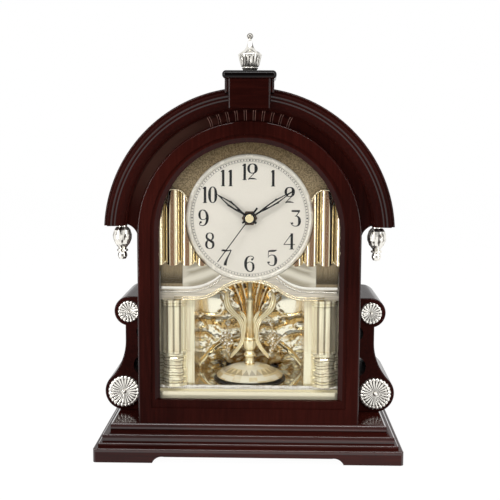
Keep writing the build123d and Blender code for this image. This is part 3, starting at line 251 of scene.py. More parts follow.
class Paint(Web):
    """One finish: a material with its plain colour, and the nodes that vary it over a surface."""

    def __init__(self, name, colour=(1, 1, 1), **fixed):
        self.material = bpy.data.materials.new(name)
        self.material.use_nodes = True
        super().__init__(self.material.node_tree)
        self.shader = self.tree.nodes["Principled BSDF"]
        self.set("Base Color", tuple(colour[:3]))
        for field, value in fixed.items():
            self.set(field.replace("_", " ").title().replace("Ior", "IOR"), value)
        self.places = self.node("ShaderNodeTexCoord", output="Object")

    def set(self, name, value):
        """A value or a wire goes to one of the shader's own sockets."""
        self.connect(value, self.shader.inputs[name])

    def surface(self, shader):
        """A shader goes to the material's surface."""
        self.connect(shader, self.tree.nodes["Material Output"].inputs["Surface"])

    def cloud(self, scale, detail, places=None, rough=0.5):
        """Soft noise of this many cells to the metre."""
        return self.node("ShaderNodeTexNoise", None, {"Vector": places or self.places, "Scale": scale,
                                                      "Detail": detail, "Roughness": rough})

    def streaks(self, cells, detail=2.0, rough=0.5):
        """Noise that is stretched: its number of cells to the metre along each axis."""
        places = self.node("ShaderNodeMapping", None, {"Vector": self.places, "Scale": cells})
        return self.cloud(1.0, detail, places, rough)

    def axis(self, name):
        """One of the surface's coordinates."""
        return self.node("ShaderNodeSeparateXYZ", None, {0: self.places}, name)

    def edges(self):
        """1 where the surface turns away from all three axes, as rounded and bevelled edges do."""
        normal = self.node("ShaderNodeNewGeometry", output="Normal")
        x, y, z = (abs(self.node("ShaderNodeSeparateXYZ", None, {0: normal}, axis)) for axis in "XYZ")
        return x.most(y).most(z).below(0.955, 0.05)

    def facets(self, scale):
        """A different share for every flat facet, from the way that it faces."""
        normal = self.node("ShaderNodeNewGeometry", output="True Normal")
        return self.cloud(scale, 0.0, normal)

    def reach(self, centre_z):
        """The distance from the arch's centre, or from the middle below it."""
        up, across = (self.axis("Z") - centre_z).most(0), self.axis("X")
        return (up * up + across * across).root()

    def blend(self, share, first, second, way="MIX"):
        """A colour between two, by a share."""
        return self.node("ShaderNodeMix", {"data_type": "RGBA", "blend_type": way}, {0: share, 6: first, 7: second}, 2)

    def under(self):
        """The colour that the finish has so far."""
        return Wire(self, self.shader.inputs["Base Color"].links[0].from_socket)

    def coloured(self, share, first, second, way="MIX"):
        """The finish goes from one colour to the other, by a share."""
        self.set("Base Color", self.blend(share, first, second, way))

    def roughened(self, cloud, middle, spread):
        """The roughness varies with a cloud, this far in all round a middle value."""
        self.set("Roughness", cloud * spread + (middle - spread / 2))

    def aged(self, cloud, ragged, soft):
        """1 where the piece's "patina" attribute is over a half; a cloud makes the edge ragged."""
        patina = self.node("ShaderNodeAttribute", {"attribute_name": "patina"}, None, "Fac")
        return (patina + (cloud - 0.5) * ragged).above(0.5, soft)

    def bump(self, height, depth, strength=1.0):
        """The surface's relief, from a height and its depth in metres."""
        self.set("Normal", self.node("ShaderNodeBump", None,
                                     {"Height": height, "Distance": depth, "Strength": strength}))


def shade(colour, factor):
    """A colour made darker or lighter."""
    return tuple(min(1.0, value * factor) for value in colour[:3])


def lacquered_wood(name, along, factor, edge_coat, beads=(), arched=True, flat_coat=0.02):
    """Dark glossy lacquer over wood whose grain runs along one axis.

    A bead is a narrow moulding: its place and half width in metres, and its rise in millimetres. Its place is
    the distance from the arch's centre, or its height on a piece that isn't arched.
    """
    wood = settings().wood
    paint = Paint(name, wood.colour, coat_roughness=0.06, specular_ior_level=0.012)
    cells = [14 / wood.streak] * 3
    cells["XYZ".index(along)] = 1 / wood.streak
    streaks = paint.streaks(cells, 4.0, 0.62)
    pores = paint.streaks([value * 4 for value in cells])
    red = paint.cloud(9.0, 1.0).above(0.52, 0.30)
    share = streaks.above(0.55, 0.35) * 0.45 + red * 0.55
    paint.coloured(share, shade(wood.colour, factor), shade(wood.figure, factor))
    paint.roughened(streaks, wood.gloss, 0.08)
    height, coat = pores * 0.006, paint.edges() * edge_coat
    place = paint.reach(ARCH_Z) if arched else paint.axis("Z")
    for centre, half, rise in beads:
        away = (place - centre) / half
        height = height + (1 - away * away).most(0) * rise
        coat = coat.most(abs(away).below(0.9, 0.3) * min(1.0, 2 * rise))
    paint.set("Coat Weight", coat + flat_coat)
    paint.bump(height, MM)
    return paint


def carved_band(paint):
    """Pairs of fine pale lines between the carved reeds, painted highlights, and a painted pale sheen to the left of
    them.
    """
    middle, pitch, apart = 0.0925, math.radians(4.3), 0.0088  # the band's radius; a reed's angle; half a pair's
    across, up = paint.axis("X"), paint.axis("Z") - ARCH_Z
    rise = paint.reach(ARCH_Z) - middle
    angle = across.maths("ARCTAN2", across, up)
    lean = angle * (1 - rise * rise * 900)
    # painted highlights: pale lines in pairs along the carved reeds
    line = abs((lean + pitch / 2).beside(pitch) - apart).below(0.0026, 0.0030)
    line = line * abs(lean).below(pitch * 4.75, 0.004) * up.above(0.06, MM)
    # painted sheen: the band is paler to the left
    painted_sheen = abs(angle + 0.78).below(0.40, 0.5)
    sheened_wood = paint.blend(painted_sheen * 0.9, paint.under(), (0.085, 0.038, 0.028))
    paint.coloured(line * 0.9, sheened_wood, (0.40, 0.22, 0.18))
    return paint.material


def black_cap(paint, height):
    """The lacquer is nearly black above this height."""
    paint.coloured(paint.axis("Z").above(height, MM), paint.under(), (0.0022, 0.0014, 0.0014))
    return paint.material


def bright_metal(name, colour, dulled=1.0, solid=1.0):
    """Polished plating with a faint cloud of wear; dulled is its roughness, in shares of the polish."""
    rough = settings().metal.polish * dulled
    paint = Paint(name, colour, metallic=solid)
    cloud = paint.cloud(160.0, 3.0)
    paint.coloured(cloud, shade(colour, 0.88), shade(colour, 1.03))
    paint.roughened(cloud, rough, rough * 0.6)
    return paint.material


def satin_metal(name, colour, rough, solid=1.0, brushed=None, contrast=0.22):
    """Plating with a fine sandy grain, which is drawn out along one axis where it is brushed."""
    paint = Paint(name, colour, metallic=solid)
    cells = [1 / settings().metal.sand] * 3
    if brushed:
        cells["XYZ".index(brushed)] *= 0.05
    sand = paint.streaks(cells, 3.0, 0.7)
    share = sand.above(0.5, 0.24) * 0.7 + paint.cloud(55.0, 3.0) * 0.3
    paint.coloured(share, shade(colour, 1 - contrast), shade(colour, 1 + contrast))
    paint.roughened(sand, rough, 0.14)
    paint.bump(sand, 0.06 * MM, 0.6)
    return paint


def sanded_panel(name, colour, top):
    """Sanded champagne plating that glitters, with painted shade under the arch from this height up."""
    paint = satin_metal(name, colour, 0.45, contrast=0.55)
    # painted shade: darker under the arch
    paint.coloured(paint.axis("Z").above(top, 0.045), paint.under(), (0.52, 0.47, 0.40), "MULTIPLY")
    return paint.material


def wing_plate(name, colour):
    """The plates beside the dial: an outer block that darkens downward in a painted shadow, and a brushed cove that is
    bright with painted highlights.
    """
    cove_edge, block_foot, block_dark, bow_height = 0.0540, 0.1405, 0.1475, 0.1610
    paint = satin_metal(name, colour, 0.36, 1.0, "Z", 0.25)
    side, rise = abs(paint.axis("X")), paint.axis("Z")
    # painted shadow: the block darkens towards its foot
    shadow = rise.below(block_dark, 0.012) * rise.above(block_foot, MM)
    block = paint.blend(shadow, paint.under(), shade(colour, 0.30))
    # painted highlights: bright streaks that bow across the cove, and brightness towards its outer edge
    bow = rise + side * 0.30 + paint.cloud(40.0, 2.0) * 0.004 - bow_height
    streaks = abs(bow).below(0.0030, 0.005).most(abs(bow - 0.0075).below(0.0012, 0.0025) * 0.7)
    cove = paint.blend(streaks.most(side.above(0.049, 0.006) * 0.6), (0.46, 0.41, 0.31), (0.86, 0.81, 0.68))
    paint.coloured(side.below(cove_edge, MM), block, cove)
    return paint.material


def reed_plate(name, colour):
    """Gilded reeds with a brown reflection down the middle of each, and a fine line at each side of it."""
    pitch, first = REED_PITCH * MM, REED_FIRST * MM
    paint = Paint(name, colour, metallic=1.0)
    away = (abs(paint.axis("X")) + math.ceil(first / pitch) * pitch - first).beside(pitch)
    streak = paint.streaks((700.0, 700.0, 12.0))
    centre = (away + streak * 0.0012 - 0.0006).below(0.0017, 0.0009)
    line = abs(away - 0.0037).below(0.0004, 0.0005)
    gold = paint.blend(streak, shade(colour, 0.82), shade(colour, 1.06))
    paint.coloured((centre * 0.9).most(line * 0.6), gold, (0.20, 0.095, 0.045))
    paint.roughened(streak, 0.12, 0.08)
    return paint.material


def antique_gilding(name, bright, rough=0.12, solid=1.0):
    """Gold that is umber in its recesses; the piece's own "patina" attribute says where."""
    metal = settings().metal
    paint = Paint(name, metal.gold, metallic=solid)
    cloud = paint.cloud(240.0, 3.0)
    paint.coloured(paint.aged(cloud, 0.5, 0.7), bright, metal.umber[:])
    paint.roughened(cloud, rough, 0.10)
    paint.bump(paint.cloud(300.0, 2.0), 0.2 * MM, 0.35)
    return paint.material


def antique_plain(name, colour, rough):
    """A plate gilded darkly, with cloudy streaks down it."""
    paint = Paint(name, colour, metallic=0.9)
    streaks = paint.streaks((60.0, 60.0, 22.0), 3.0)
    paint.coloured(streaks.above(0.5, 0.4), shade(colour, 0.75), shade(colour, 1.6))
    paint.roughened(streaks, rough, 0.10)
    return paint.material


def grooved_silver(name, colour, rough=0.12, streaky=0.0):
    """Bright plating that is painted black in its grooves, as shade, where the piece's "patina" attribute says so."""
    paint = Paint(name, colour, metallic=0.86)
    cloud = paint.cloud(300.0, 3.0)
    # painted shade: black in the grooves
    share = paint.aged(cloud, 0.25, 0.6)
    if streaky:
        share = share.most(paint.streaks((300.0, 300.0, 120.0)).below(0.45, 0.12) * streaky)
    paint.coloured(share, colour, (0.035, 0.030, 0.026))
    paint.roughened(cloud + share * 2.5, rough, 0.08)
    return paint.material


def stage_plate(name, colour):
    """The stage: a mirror floor behind, and a paler kerb whose lip is chased, with a dark line under it."""
    lip_depth, line_depth, fine = 2.1 * MM, 2.4 * MM, 0.3 * MM
    paint = Paint(name, colour)
    behind = paint.axis("Y").above(PANEL_FRONT + 2 * MM, MM)
    rise = paint.axis("Z") - STAGE_TOP
    chased = paint.streaks((420.0, 60.0, 900.0), 3.0, 0.7).above(0.47, 0.10)
    cloud = paint.cloud(120.0, 2.0)
    mirror = paint.blend(cloud, shade(colour, 0.90), shade(colour, 1.05))
    lip = paint.blend(chased, (0.42, 0.37, 0.30), (0.97, 0.95, 0.90))
    kerb = paint.blend(rise.above(-lip_depth, fine), (1.0, 0.93, 0.70), lip)
    line = abs(rise + line_depth).below(fine, fine)
    paint.coloured(line * (1 - behind), paint.blend(behind, kerb, mirror), (0.16, 0.12, 0.07))
    paint.set("Metallic", behind * 0.60 + 0.35)
    paint.roughened(cloud - behind * 1.5, 0.11, 0.04)
    return paint.material


def column_gold(name, colour):
    """Pale gilding on the columns, with painted pale highlight streaks, painted dark lines of shade in the grooves
    down the shafts, and wavy ones in the grooves round the pedestals.
    """
    ring_pitch, jamb_edge = 0.0062, 0.0535
    paint = Paint(name, colour)
    rise, side = paint.axis("Z"), abs(paint.axis("X"))
    streak = paint.streaks((500.0, 500.0, 20.0))
    waves = paint.streaks((110.0, 110.0, 60.0)) * 0.0040
    # painted shade: dark lines in the grooves round the pedestals
    rings = abs((rise + waves).beside(ring_pitch) - 0.0012).below(0.0003, 0.0006)
    # painted shade: dark lines in the grooves between the shafts' lobes
    shaft = abs((side - COLUMN_X).beside(LOBE_PITCH) - 0.0004).below(0.00042, 0.0004)
    low, column = rise.below(PEDESTAL_TOP, MM), side.above(jamb_edge, 0.0004)
    # painted highlights: pale streaks down the columns
    plain = paint.blend(streak.above(0.5, 0.25), shade(colour, 0.88), (1.0, 0.95, 0.70))
    share = (rings * low * 0.9).most(shaft * (1 - low) * 0.75) * column
    paint.coloured(share, plain, (0.12, 0.085, 0.04))
    paint.roughened(streak, 0.105, 0.05)
    paint.set("Metallic", low * 0.35 + 0.15)
    return paint.material


def rope_silver(name):
    """Bright plating with slanting dark turns, as on a rope."""
    paint = Paint(name, (0.92, 0.89, 0.80), metallic=0.5, roughness=0.2)
    turns = (abs(paint.axis("X")) + paint.axis("Z") * 0.6).beside(1.6 * MM)
    paint.coloured(turns.below(0.00028, 0.0003), (0.93, 0.90, 0.82), (0.20, 0.16, 0.10))
    return paint.material


def chased_silver(name, colour):
    """Bright plating with dark chasing that runs up and down."""
    paint = Paint(name, colour, metallic=0.9)
    streak = paint.streaks((420.0, 420.0, 70.0), rough=0.6)
    paint.coloured(streak.below(0.44, 0.10), colour, (0.07, 0.06, 0.05))
    paint.roughened(streak, 0.12, 0.08)
    return paint.material


def moulded_plastic(name, colour, rough=0.45):
    """Moulded plastic with a fine spark-eroded texture."""
    paint = Paint(name, colour)
    sand = paint.cloud(1800.0, 1.0)
    paint.coloured(sand, shade(colour, 0.85), colour)
    paint.roughened(sand, rough, 0.12)
    paint.bump(sand, 0.04 * MM, 0.5)
    return paint.material


def printed_dial():
    """Cream print with a faint mottle and a softer cloud over it."""
    paper = settings().dial.paper[:]
    paint = Paint("dial_print", paper, specular_ior_level=0.3)
    mottle = paint.cloud(900.0, 3.0) * 0.6 + paint.cloud(45.0, 1.0) * 0.4
    paint.coloured(mottle, shade(paper, 0.94), shade(paper, 1.05))
    paint.roughened(mottle, 0.50, 0.10)
    return paint.material


def ink(name, colour, rough=0.35):
    """Printed or enamelled black with a faint unevenness."""
    paint = Paint(name, colour, specular_ior_level=0.3)
    cloud = paint.cloud(1400.0, 2.0)
    paint.coloured(cloud, shade(colour, 0.8), shade(colour, 1.2))
    paint.roughened(cloud, rough, 0.10)
    return paint.material


def clear_pane(name):
    """Clear glass: what is behind it, with a little of what it reflects."""
    paint = Paint(name, roughness=0.02)
    clear = paint.node("ShaderNodeBsdfTransparent", None, {"Color": (0.985, 0.985, 0.98)})
    gloss = paint.node("ShaderNodeBsdfGlossy", None, {"Roughness": 0.02})
    facing = paint.node("ShaderNodeFresnel", None, {"IOR": 1.30})
    share = facing * (paint.cloud(60.0, 2.0) * 0.1 + 0.35)
    paint.surface(paint.node("ShaderNodeMixShader", None, {0: share, 1: clear, 2: gloss}))
    return paint.material


def cut_glass(name):
    """Cut glass: by the way that they face, some facets have a painted white flash, and the others a painted
    reflection of the gold behind them.
    """
    paint = Paint(name, (0.97, 0.95, 0.90), ior=1.52, specular_ior_level=1.0)
    smoke = paint.cloud(500.0, 2.0)
    # painted flashes and reflections, facet by facet
    share = (paint.facets(3.1) * 0.8 + smoke * 0.2).above(0.50, 0.16)
    paint.coloured(share, (1.0, 0.98, 0.88), (0.55, 0.40, 0.16))
    paint.set("Metallic", share * 0.25)
    paint.roughened(smoke, 0.04, 0.04)
    return paint.material


def cut_metal(name, colour):
    """Pale polished metal; the facets that face one way have painted shade, darker and warmer than the others."""
    paint = Paint(name, colour, metallic=0.10)
    cloud = paint.cloud(200.0, 2.0)
    share = (paint.facets(2.7) * 0.9 + cloud * 0.1).above(0.52, 0.10)
    paint.coloured(share, colour, [value * kept for value, kept in zip(colour, (0.86, 0.76, 0.55))])
    paint.roughened(cloud, 0.105, 0.05)
    return paint.material


def felt(name):
    """Dark felt with loose fibres."""
    paint = Paint(name, (0.02, 0.02, 0.022), roughness=0.95, sheen_weight=0.6)
    fibres = paint.cloud(2600.0, 4.0)
    paint.coloured(fibres, (0.010, 0.010, 0.012), (0.05, 0.05, 0.055))
    paint.bump(fibres, 0.3 * MM, 0.8)
    return paint.material


def wound_wire(name):
    """Enamelled copper wire in fine turns across Z."""
    paint = Paint(name, (0.45, 0.14, 0.05), metallic=0.8, roughness=0.3)
    turns = paint.node("ShaderNodeTexWave", {"bands_direction": "Z"}, {"Vector": paint.places, "Scale": 900.0}, 1)
    paint.coloured(turns, (0.22, 0.06, 0.02), (0.62, 0.24, 0.10))
    paint.bump(turns, 0.2 * MM)
    return paint.material


def cell_wrap(name):
    """A plain shrink sleeve in two colours, which meet at a seam along the cell."""
    seam = 0.010
    paint = Paint(name, (0.03, 0.032, 0.036))
    cloud = paint.cloud(300.0, 2.0)
    dark = paint.blend(cloud, (0.02, 0.022, 0.026), (0.035, 0.037, 0.042))
    paint.coloured(paint.axis("X").above(seam, 0.0006), dark, (0.50, 0.26, 0.08))
    paint.roughened(cloud, 0.30, 0.10)
    return paint.material


def dress(material, *nodes):
    """CAD nodes keep their shape and take this finish."""
    for name in nodes:
        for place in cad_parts[name].material_slots:
            place.material = material


def new_piece(name, data):
    """An object at the origin that shows this mesh, or holds this lamp or camera."""
    piece = bpy.data.objects.new(name, data)
    bpy.context.scene.collection.objects.link(piece)
    return piece


def finish_piece(name, mesh, material, body, replaced=(), rounded=True):
    """A mesh becomes a piece, with its finish unless it has its own, and its body; the CAD nodes that it replaces are
    hidden.
    """
    piece = new_piece(name, mesh)
    if material:
        mesh.materials.clear()
        mesh.materials.append(material)
    for face in mesh.polygons:
        face.use_smooth = rounded
    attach(piece, body)
    if replaced:
        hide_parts(*replaced)


def smooth(value):
    """A value held between 0 and 1, with a soft start and end."""
    value = min(1.0, max(0.0, value))
    return value * value * (3 - 2 * value)


def bell(value, middle, width):
    """1 at a middle value, falling to nothing on both sides of it."""
    return math.exp(-((value - middle) / width) ** 2)


def loft(shape, rings, looped=False):
    """A closed skin over rings of points, capped at both ends or joined end to end."""
    made = [[shape.verts.new(point) for point in ring] for ring in rings]
    pairs = list(zip(made, made[1:]))
    if looped:
        pairs.append((made[-1], made[0]))
    else:
        shape.faces.new(made[0][::-1])
        shape.faces.new(made[-1])
    for first, second in pairs:
        for index in range(len(first)):
            after = (index + 1) % len(first)
            shape.faces.new((first[index], first[after], second[after], second[index]))


def mesh_from(shape, name, place=None):
    """The shape as a mesh with its faces outwards, put in its place."""
    bmesh.ops.recalc_face_normals(shape, faces=shape.faces)
    if place:
        shape.transform(place)
    mesh = bpy.data.meshes.new(name)
    shape.to_mesh(mesh)
    shape.free()
    return mesh


def age(mesh, values):
    """Writes where a mesh is darkened, vertex by vertex."""
    mesh.attributes.new("patina", "FLOAT", "POINT").data.foreach_set("value", values)


def joined(name, meshes):
    """Several meshes as one, each with its own finish kept."""
    shape = bmesh.new()
    finishes = []
    for mesh in meshes:
        start = len(shape.faces)
        shape.from_mesh(mesh)
        if mesh.materials[0] not in finishes:
            finishes.append(mesh.materials[0])
        shape.faces.ensure_lookup_table()
        for face in shape.faces[start:]:
            face.material_index = finishes.index(mesh.materials[0])
    mesh = bpy.data.meshes.new(name)
    for finish in finishes:
        mesh.materials.append(finish)
    shape.to_mesh(mesh)
    shape.free()
    return mesh


def lathe(shape, outline, steps, ripple=None, middle=(0, 0)):
    """A turned form from (radius, height) points; ripple(row, angle) scales the radius."""
    rings = []
    for row, (radius, height) in enumerate(outline):
        ring = []
        for step in range(steps):
            angle = 2 * math.pi * step / steps
            grown = radius * (ripple(row, angle) if ripple else 1)
            ring.append((middle[0] + grown * math.cos(angle), middle[1] + grown * math.sin(angle), height))
        rings.append(ring)
    loft(shape, rings)


def flowing(points, steps=6):
    """Points on a smooth line through these, whatever number of values each has."""
    line = []
    last = len(points) - 1
    for index in range(last):
        near = [points[min(max(index + offset, 0), last)] for offset in (-1, 0, 1, 2)]
        for step in range(steps):
            t = step / steps
            line.append(tuple(0.5 * (2 * b + (c - a) * t + (2 * a - 5 * b + 4 * c - d) * t ** 2
                                     + (3 * b - a - 3 * c + d) * t ** 3) for a, b, c, d in zip(*near)))
    return line + [tuple(points[-1])]


def arc_points(centre, radius, start, end, steps):
    """Points on an arc, with its angles in degrees from the right."""
    return [(centre[0] + radius * math.cos(math.radians(start + (end - start) * step / steps)),
             centre[1] + radius * math.sin(math.radians(start + (end - start) * step / steps)))
            for step in range(steps + 1)]


def wire(shape, points, radius):
    """A round wire along points that lie in an upright plane facing the front."""
    sides = 8
    rings = []
    for index, (x, y, z) in enumerate(points):
        before, after = points[max(index - 1, 0)], points[min(index + 1, len(points) - 1)]
        dx, dz = after[0] - before[0], after[2] - before[2]
        length = math.hypot(dx, dz) or 1
        ring = []
        for turn in (2 * math.pi * side / sides for side in range(sides)):
            out = radius * math.cos(turn)
            ring.append((x - dz / length * out, y + radius * math.sin(turn), z + dx / length * out))
        rings.append(ring)
    loft(shape, rings)


class Growth(Web):
    """A Geometry Nodes tree with named inputs, whose result is kept as a plain mesh."""

    def __init__(self, name):
        super().__init__(bpy.data.node_groups.new(name, "GeometryNodeTree"))
        self.name = name
        self.tree.interface.new_socket("Geometry", in_out="OUTPUT", socket_type="NodeSocketGeometry")
        self.inputs = self.tree.nodes.new("NodeGroupInput")
        self.output = self.tree.nodes.new("NodeGroupOutput")
        self.given = {}

    def size(self, name, value, kind="NodeSocketFloat"):
        """A named input of the tree and its value."""
        socket = self.tree.interface.new_socket(name, in_out="INPUT", socket_type=kind)
        self.given[socket.identifier] = value
        return Wire(self, self.inputs.outputs[name])

    def grown(self, geometry, material):
        """The tree's result as a plain mesh."""
        real = self.node("GeometryNodeRealizeInstances", None, {0: geometry})
        last = self.node("GeometryNodeSetMaterial", None, {"Geometry": real, "Material": material})
        self.connect(last, self.output.inputs[0])
        seed = new_piece(self.name + "_seed", bpy.data.meshes.new(self.name + "_seed"))
        modifier = seed.modifiers.new("growth", "NODES")
        modifier.node_group = self.tree
        for identifier, value in self.given.items():
            modifier[identifier] = value
        view = bpy.context.evaluated_depsgraph_get()
        view.update()
        mesh = bpy.data.meshes.new_from_object(seed.evaluated_get(view))
        mesh.name = self.name
        mesh.materials.clear()  # the repeated form brings an empty place of its own before the finish's
        mesh.materials.append(material)
        seed.modifiers.clear()
        bpy.data.objects.remove(seed)
        return mesh


def repeated(growth, spots, form, material, size, turn_step=0.0):
    """A form on each of a tree's points, turned a step further each time."""
    scale = growth.size("Size", size, "NodeSocketVector")
    turn = growth.size("Turn", turn_step)
    place = growth.node("GeometryNodeInputIndex")
    spin = growth.node("ShaderNodeCombineXYZ", None, {"Z": place * turn})
    if form == "bead":
        one = growth.node("GeometryNodeMeshUVSphere", None, {"Segments": 10, "Rings": 6, "Radius": 1.0})
    else:
        one = growth.node("GeometryNodeMeshCube", None, {"Size": (2.0, 2.0, 2.0)})
    many = growth.node("GeometryNodeInstanceOnPoints", None, {"Points": spots, "Instance": one, "Rotation": spin,
                                                              "Scale": scale})
    return growth.grown(many, material)


def round_row(name, form, count, radius, size, lift, material):
    """Forms round a circle, each with its first side along the radius."""
    growth = Growth(name)
    number = growth.size("Count", count, "NodeSocketInt")
    reach = growth.size("Radius", radius)
    circle = growth.node("GeometryNodeMeshCircle", None, {"Vertices": number, "Radius": reach})
    mesh = repeated(growth, circle, form, material, size, 2 * math.pi / count)
    mesh.transform(Matrix.Translation((0, 0, lift)))
    return mesh


def straight_row(name, form, count, start, pitch, size, material):
    """Forms in a straight line along X."""
    growth = Growth(name)
    number = growth.size("Count", count, "NodeSocketInt")
    step = growth.size("Pitch", pitch)
    offset = growth.node("ShaderNodeCombineXYZ", None, {"X": step})
    line = growth.node("GeometryNodeMeshLine", None, {"Count": number, "Offset": offset})
    mesh = repeated(growth, line, form, material, size)
    mesh.transform(Matrix.Translation(start))
    return mesh


# Numerals: each stroke is a line of (x, y, width) in shares of the numeral's height
def bowl(x, y, rx, ry, start=0, end=360, left=0.125, right=0.125, thin=0.035):
    """An elliptical stroke, thin above and below and thick at its sides; angles in degrees from the right."""
    steps = max(6, int(abs(end - start) / 8))
    line = []
    for step in range(steps + 1):
        angle = math.radians(start + (end - start) * step / steps)
        thick = right if math.cos(angle) > 0 else left
        swell = thin + (thick - thin) * abs(math.cos(angle)) ** 1.6
        line.append((x + (rx - swell / 2) * math.cos(angle), y + (ry - thin / 2) * math.sin(angle), swell))
    return line


def dot(x, y, radius=0.055):
    """A round end of a stroke."""
    turns = [math.radians(30 * step) for step in range(12)] + [0.0]
    return [(x + radius / 2 * math.cos(turn), y + radius / 2 * math.sin(turn), radius * 0.98) for turn in turns]


def upside_down(strokes, width):
    """Strokes turned upside down, as a 9 is a 6."""
    return [[(width - x, 1 - y, w) for x, y, w in line] for line in strokes]


SIX = [bowl(0.40, 0.50, 0.40, 0.50, 88, 272, 0.15, 0.15, 0.03),
       bowl(0.34, 0.315, 0.28, 0.315, 0, 360, 0.05, 0.12, 0.03),
       flowing([(0.40, 0.985, 0.03), (0.51, 0.955, 0.035), (0.56, 0.88, 0.04), (0.52, 0.80, 0.06)]),
       dot(0.48, 0.775, 0.065)]
NUMERALS = {
    "0": (0.54, [bowl(0.27, 0.5, 0.27, 0.5, 0, 360, 0.15, 0.15)]),
    "1": (0.30, [[(0.17, 0.02, 0.13), (0.17, 0.995, 0.13)], [(0.15, 0.93, 0.10), (0.03, 0.865, 0.03)],
                 [(0.04, 0.015, 0.03), (0.29, 0.015, 0.03)]]),
    "2": (0.62, [bowl(0.305, 0.70, 0.305, 0.30, 0, 360, 0.13, 0.17),
                 flowing([(0.42, 0.43, 0.04), (0.25, 0.25, 0.035), (0.05, 0.05, 0.03)]),
                 flowing([(0.05, 0.03, 0.02), (0.17, 0.085, 0.06), (0.30, 0.09, 0.075), (0.45, 0.075, 0.05),
                          (0.56, 0.04, 0.02)])]),
    "3": (0.62, [[(0.05, 0.95, 0.09), (0.56, 0.95, 0.11)], [(0.55, 0.95, 0.045), (0.34, 0.65, 0.035)],
                 bowl(0.30, 0.33, 0.32, 0.33, 98, -165, 0.03, 0.15), dot(0.10, 0.20)]),
    "4": (0.70, [[(0.50, 0.02, 0.13), (0.50, 0.99, 0.13)], [(0.50, 0.97, 0.035), (0.02, 0.31, 0.03)],
                 [(0.0, 0.30, 0.035), (0.69, 0.30, 0.035)], [(0.36, 0.015, 0.03), (0.64, 0.015, 0.03)]]),
    "5": (0.60, [flowing([(0.06, 0.91, 0.07), (0.25, 0.935, 0.10), (0.43, 0.94, 0.09), (0.56, 0.99, 0.03)]),
                 [(0.065, 0.94, 0.035), (0.04, 0.62, 0.03)], bowl(0.28, 0.35, 0.31, 0.35, 150, -165, 0.03, 0.15),
                 dot(0.09, 0.22)]),
    "6": (0.62, SIX),
    "7": (0.62, [flowing([(0.02, 0.88, 0.03), (0.06, 0.945, 0.08), (0.23, 0.935, 0.10), (0.42, 0.93, 0.06),
                          (0.60, 0.985, 0.035)]),
                 flowing([(0.60, 0.965, 0.045), (0.48, 0.70, 0.055), (0.34, 0.42, 0.09), (0.25, 0.18, 0.14),
                          (0.23, 0.01, 0.17)])]),
    "8": (0.57, [bowl(0.29, 0.76, 0.25, 0.24, 0, 360, 0.10, 0.10), bowl(0.29, 0.275, 0.28, 0.275),
                 flowing([(0.12, 0.66, 0.08), (0.29, 0.52, 0.12), (0.47, 0.38, 0.08)])]),
    "9": (0.62, upside_down(SIX, 0.62)),
}
# Room between the two figures of an hour, in the same shares
PAIR_GAPS = {"10": 0.07, "11": 0.16, "12": 0.04}
# How much wider the ink spreads, in the same shares; the print's height and each further stroke's, in metres
INK_SPREAD, PRINT_HEIGHT, STROKE_STEP = 0.006, 0.05 * MM, 0.006 * MM


def printed_stroke(shape, line, low, high):
    """One stroke as a closed thin prism."""
    looped = math.dist(line[0][:2], line[-1][:2]) < 1e-7
    line = line[:-1] if looped else line
    rings = []
    for index, (x, y, width) in enumerate(line):
        before = line[index - 1 if looped or index else 0]
        after = line[(index + 1) % len(line) if looped or index + 1 < len(line) else index]
        dx, dy = after[0] - before[0], after[1] - before[1]
        share = width / 2 / (math.hypot(dx, dy) or 1)
        ox, oy = -dy * share, dx * share
        rings.append([(x + ox, y + oy, low), (x - ox, y - oy, low), (x - ox, y - oy, high), (x + ox, y + oy, high)])
    loft(shape, rings, looped)


def numeral_mesh():
    """All hour numerals, upright, just proud of the dial."""
    dial = settings().dial
    size = dial.numeral_height
    shape = bmesh.new()
    for hour in range(1, 13):
        text = str(hour)
        gap = PAIR_GAPS.get(text, 0)
        width = sum(NUMERALS[figure][0] for figure in text) + gap
        angle = math.radians(90 - 30 * hour)
        left = dial.numeral_radius * math.cos(angle) - width * size / 2
        low = dial.numeral_radius * math.sin(angle) - size / 2
        for figure in text:
            wide, strokes = NUMERALS[figure]
            for index, line in enumerate(strokes):
                placed = [(left + x * size, low + y * size, (w * dial.weight + INK_SPREAD) * size)
                          for x, y, w in line]
                printed_stroke(shape, placed, 0.0, PRINT_HEIGHT + STROKE_STEP * index)
            left += (wide + gap) * size
    return mesh_from(shape, "hour_numerals", Matrix.Translation(DIAL_CENTRE) @ FRONT)


# Beads of the base, the front frame and the roof's moulding: place, half width and rise, as lacquered_wood takes them
BASE_BEADS = ((0.0105, 0.0011, 0.5), (0.0175, 0.0013, 0.5), (0.0240, 0.0012, 0.5))
FRAME_BEADS = ((0.0883, 0.0007, 0.24),)
ROOF_BEADS = ((0.1079, 0.0007, 0.8), (0.1052, 0.0006, 0.5))
CAP_DEPTH = 5.2 * MM  # the keystone's black cap


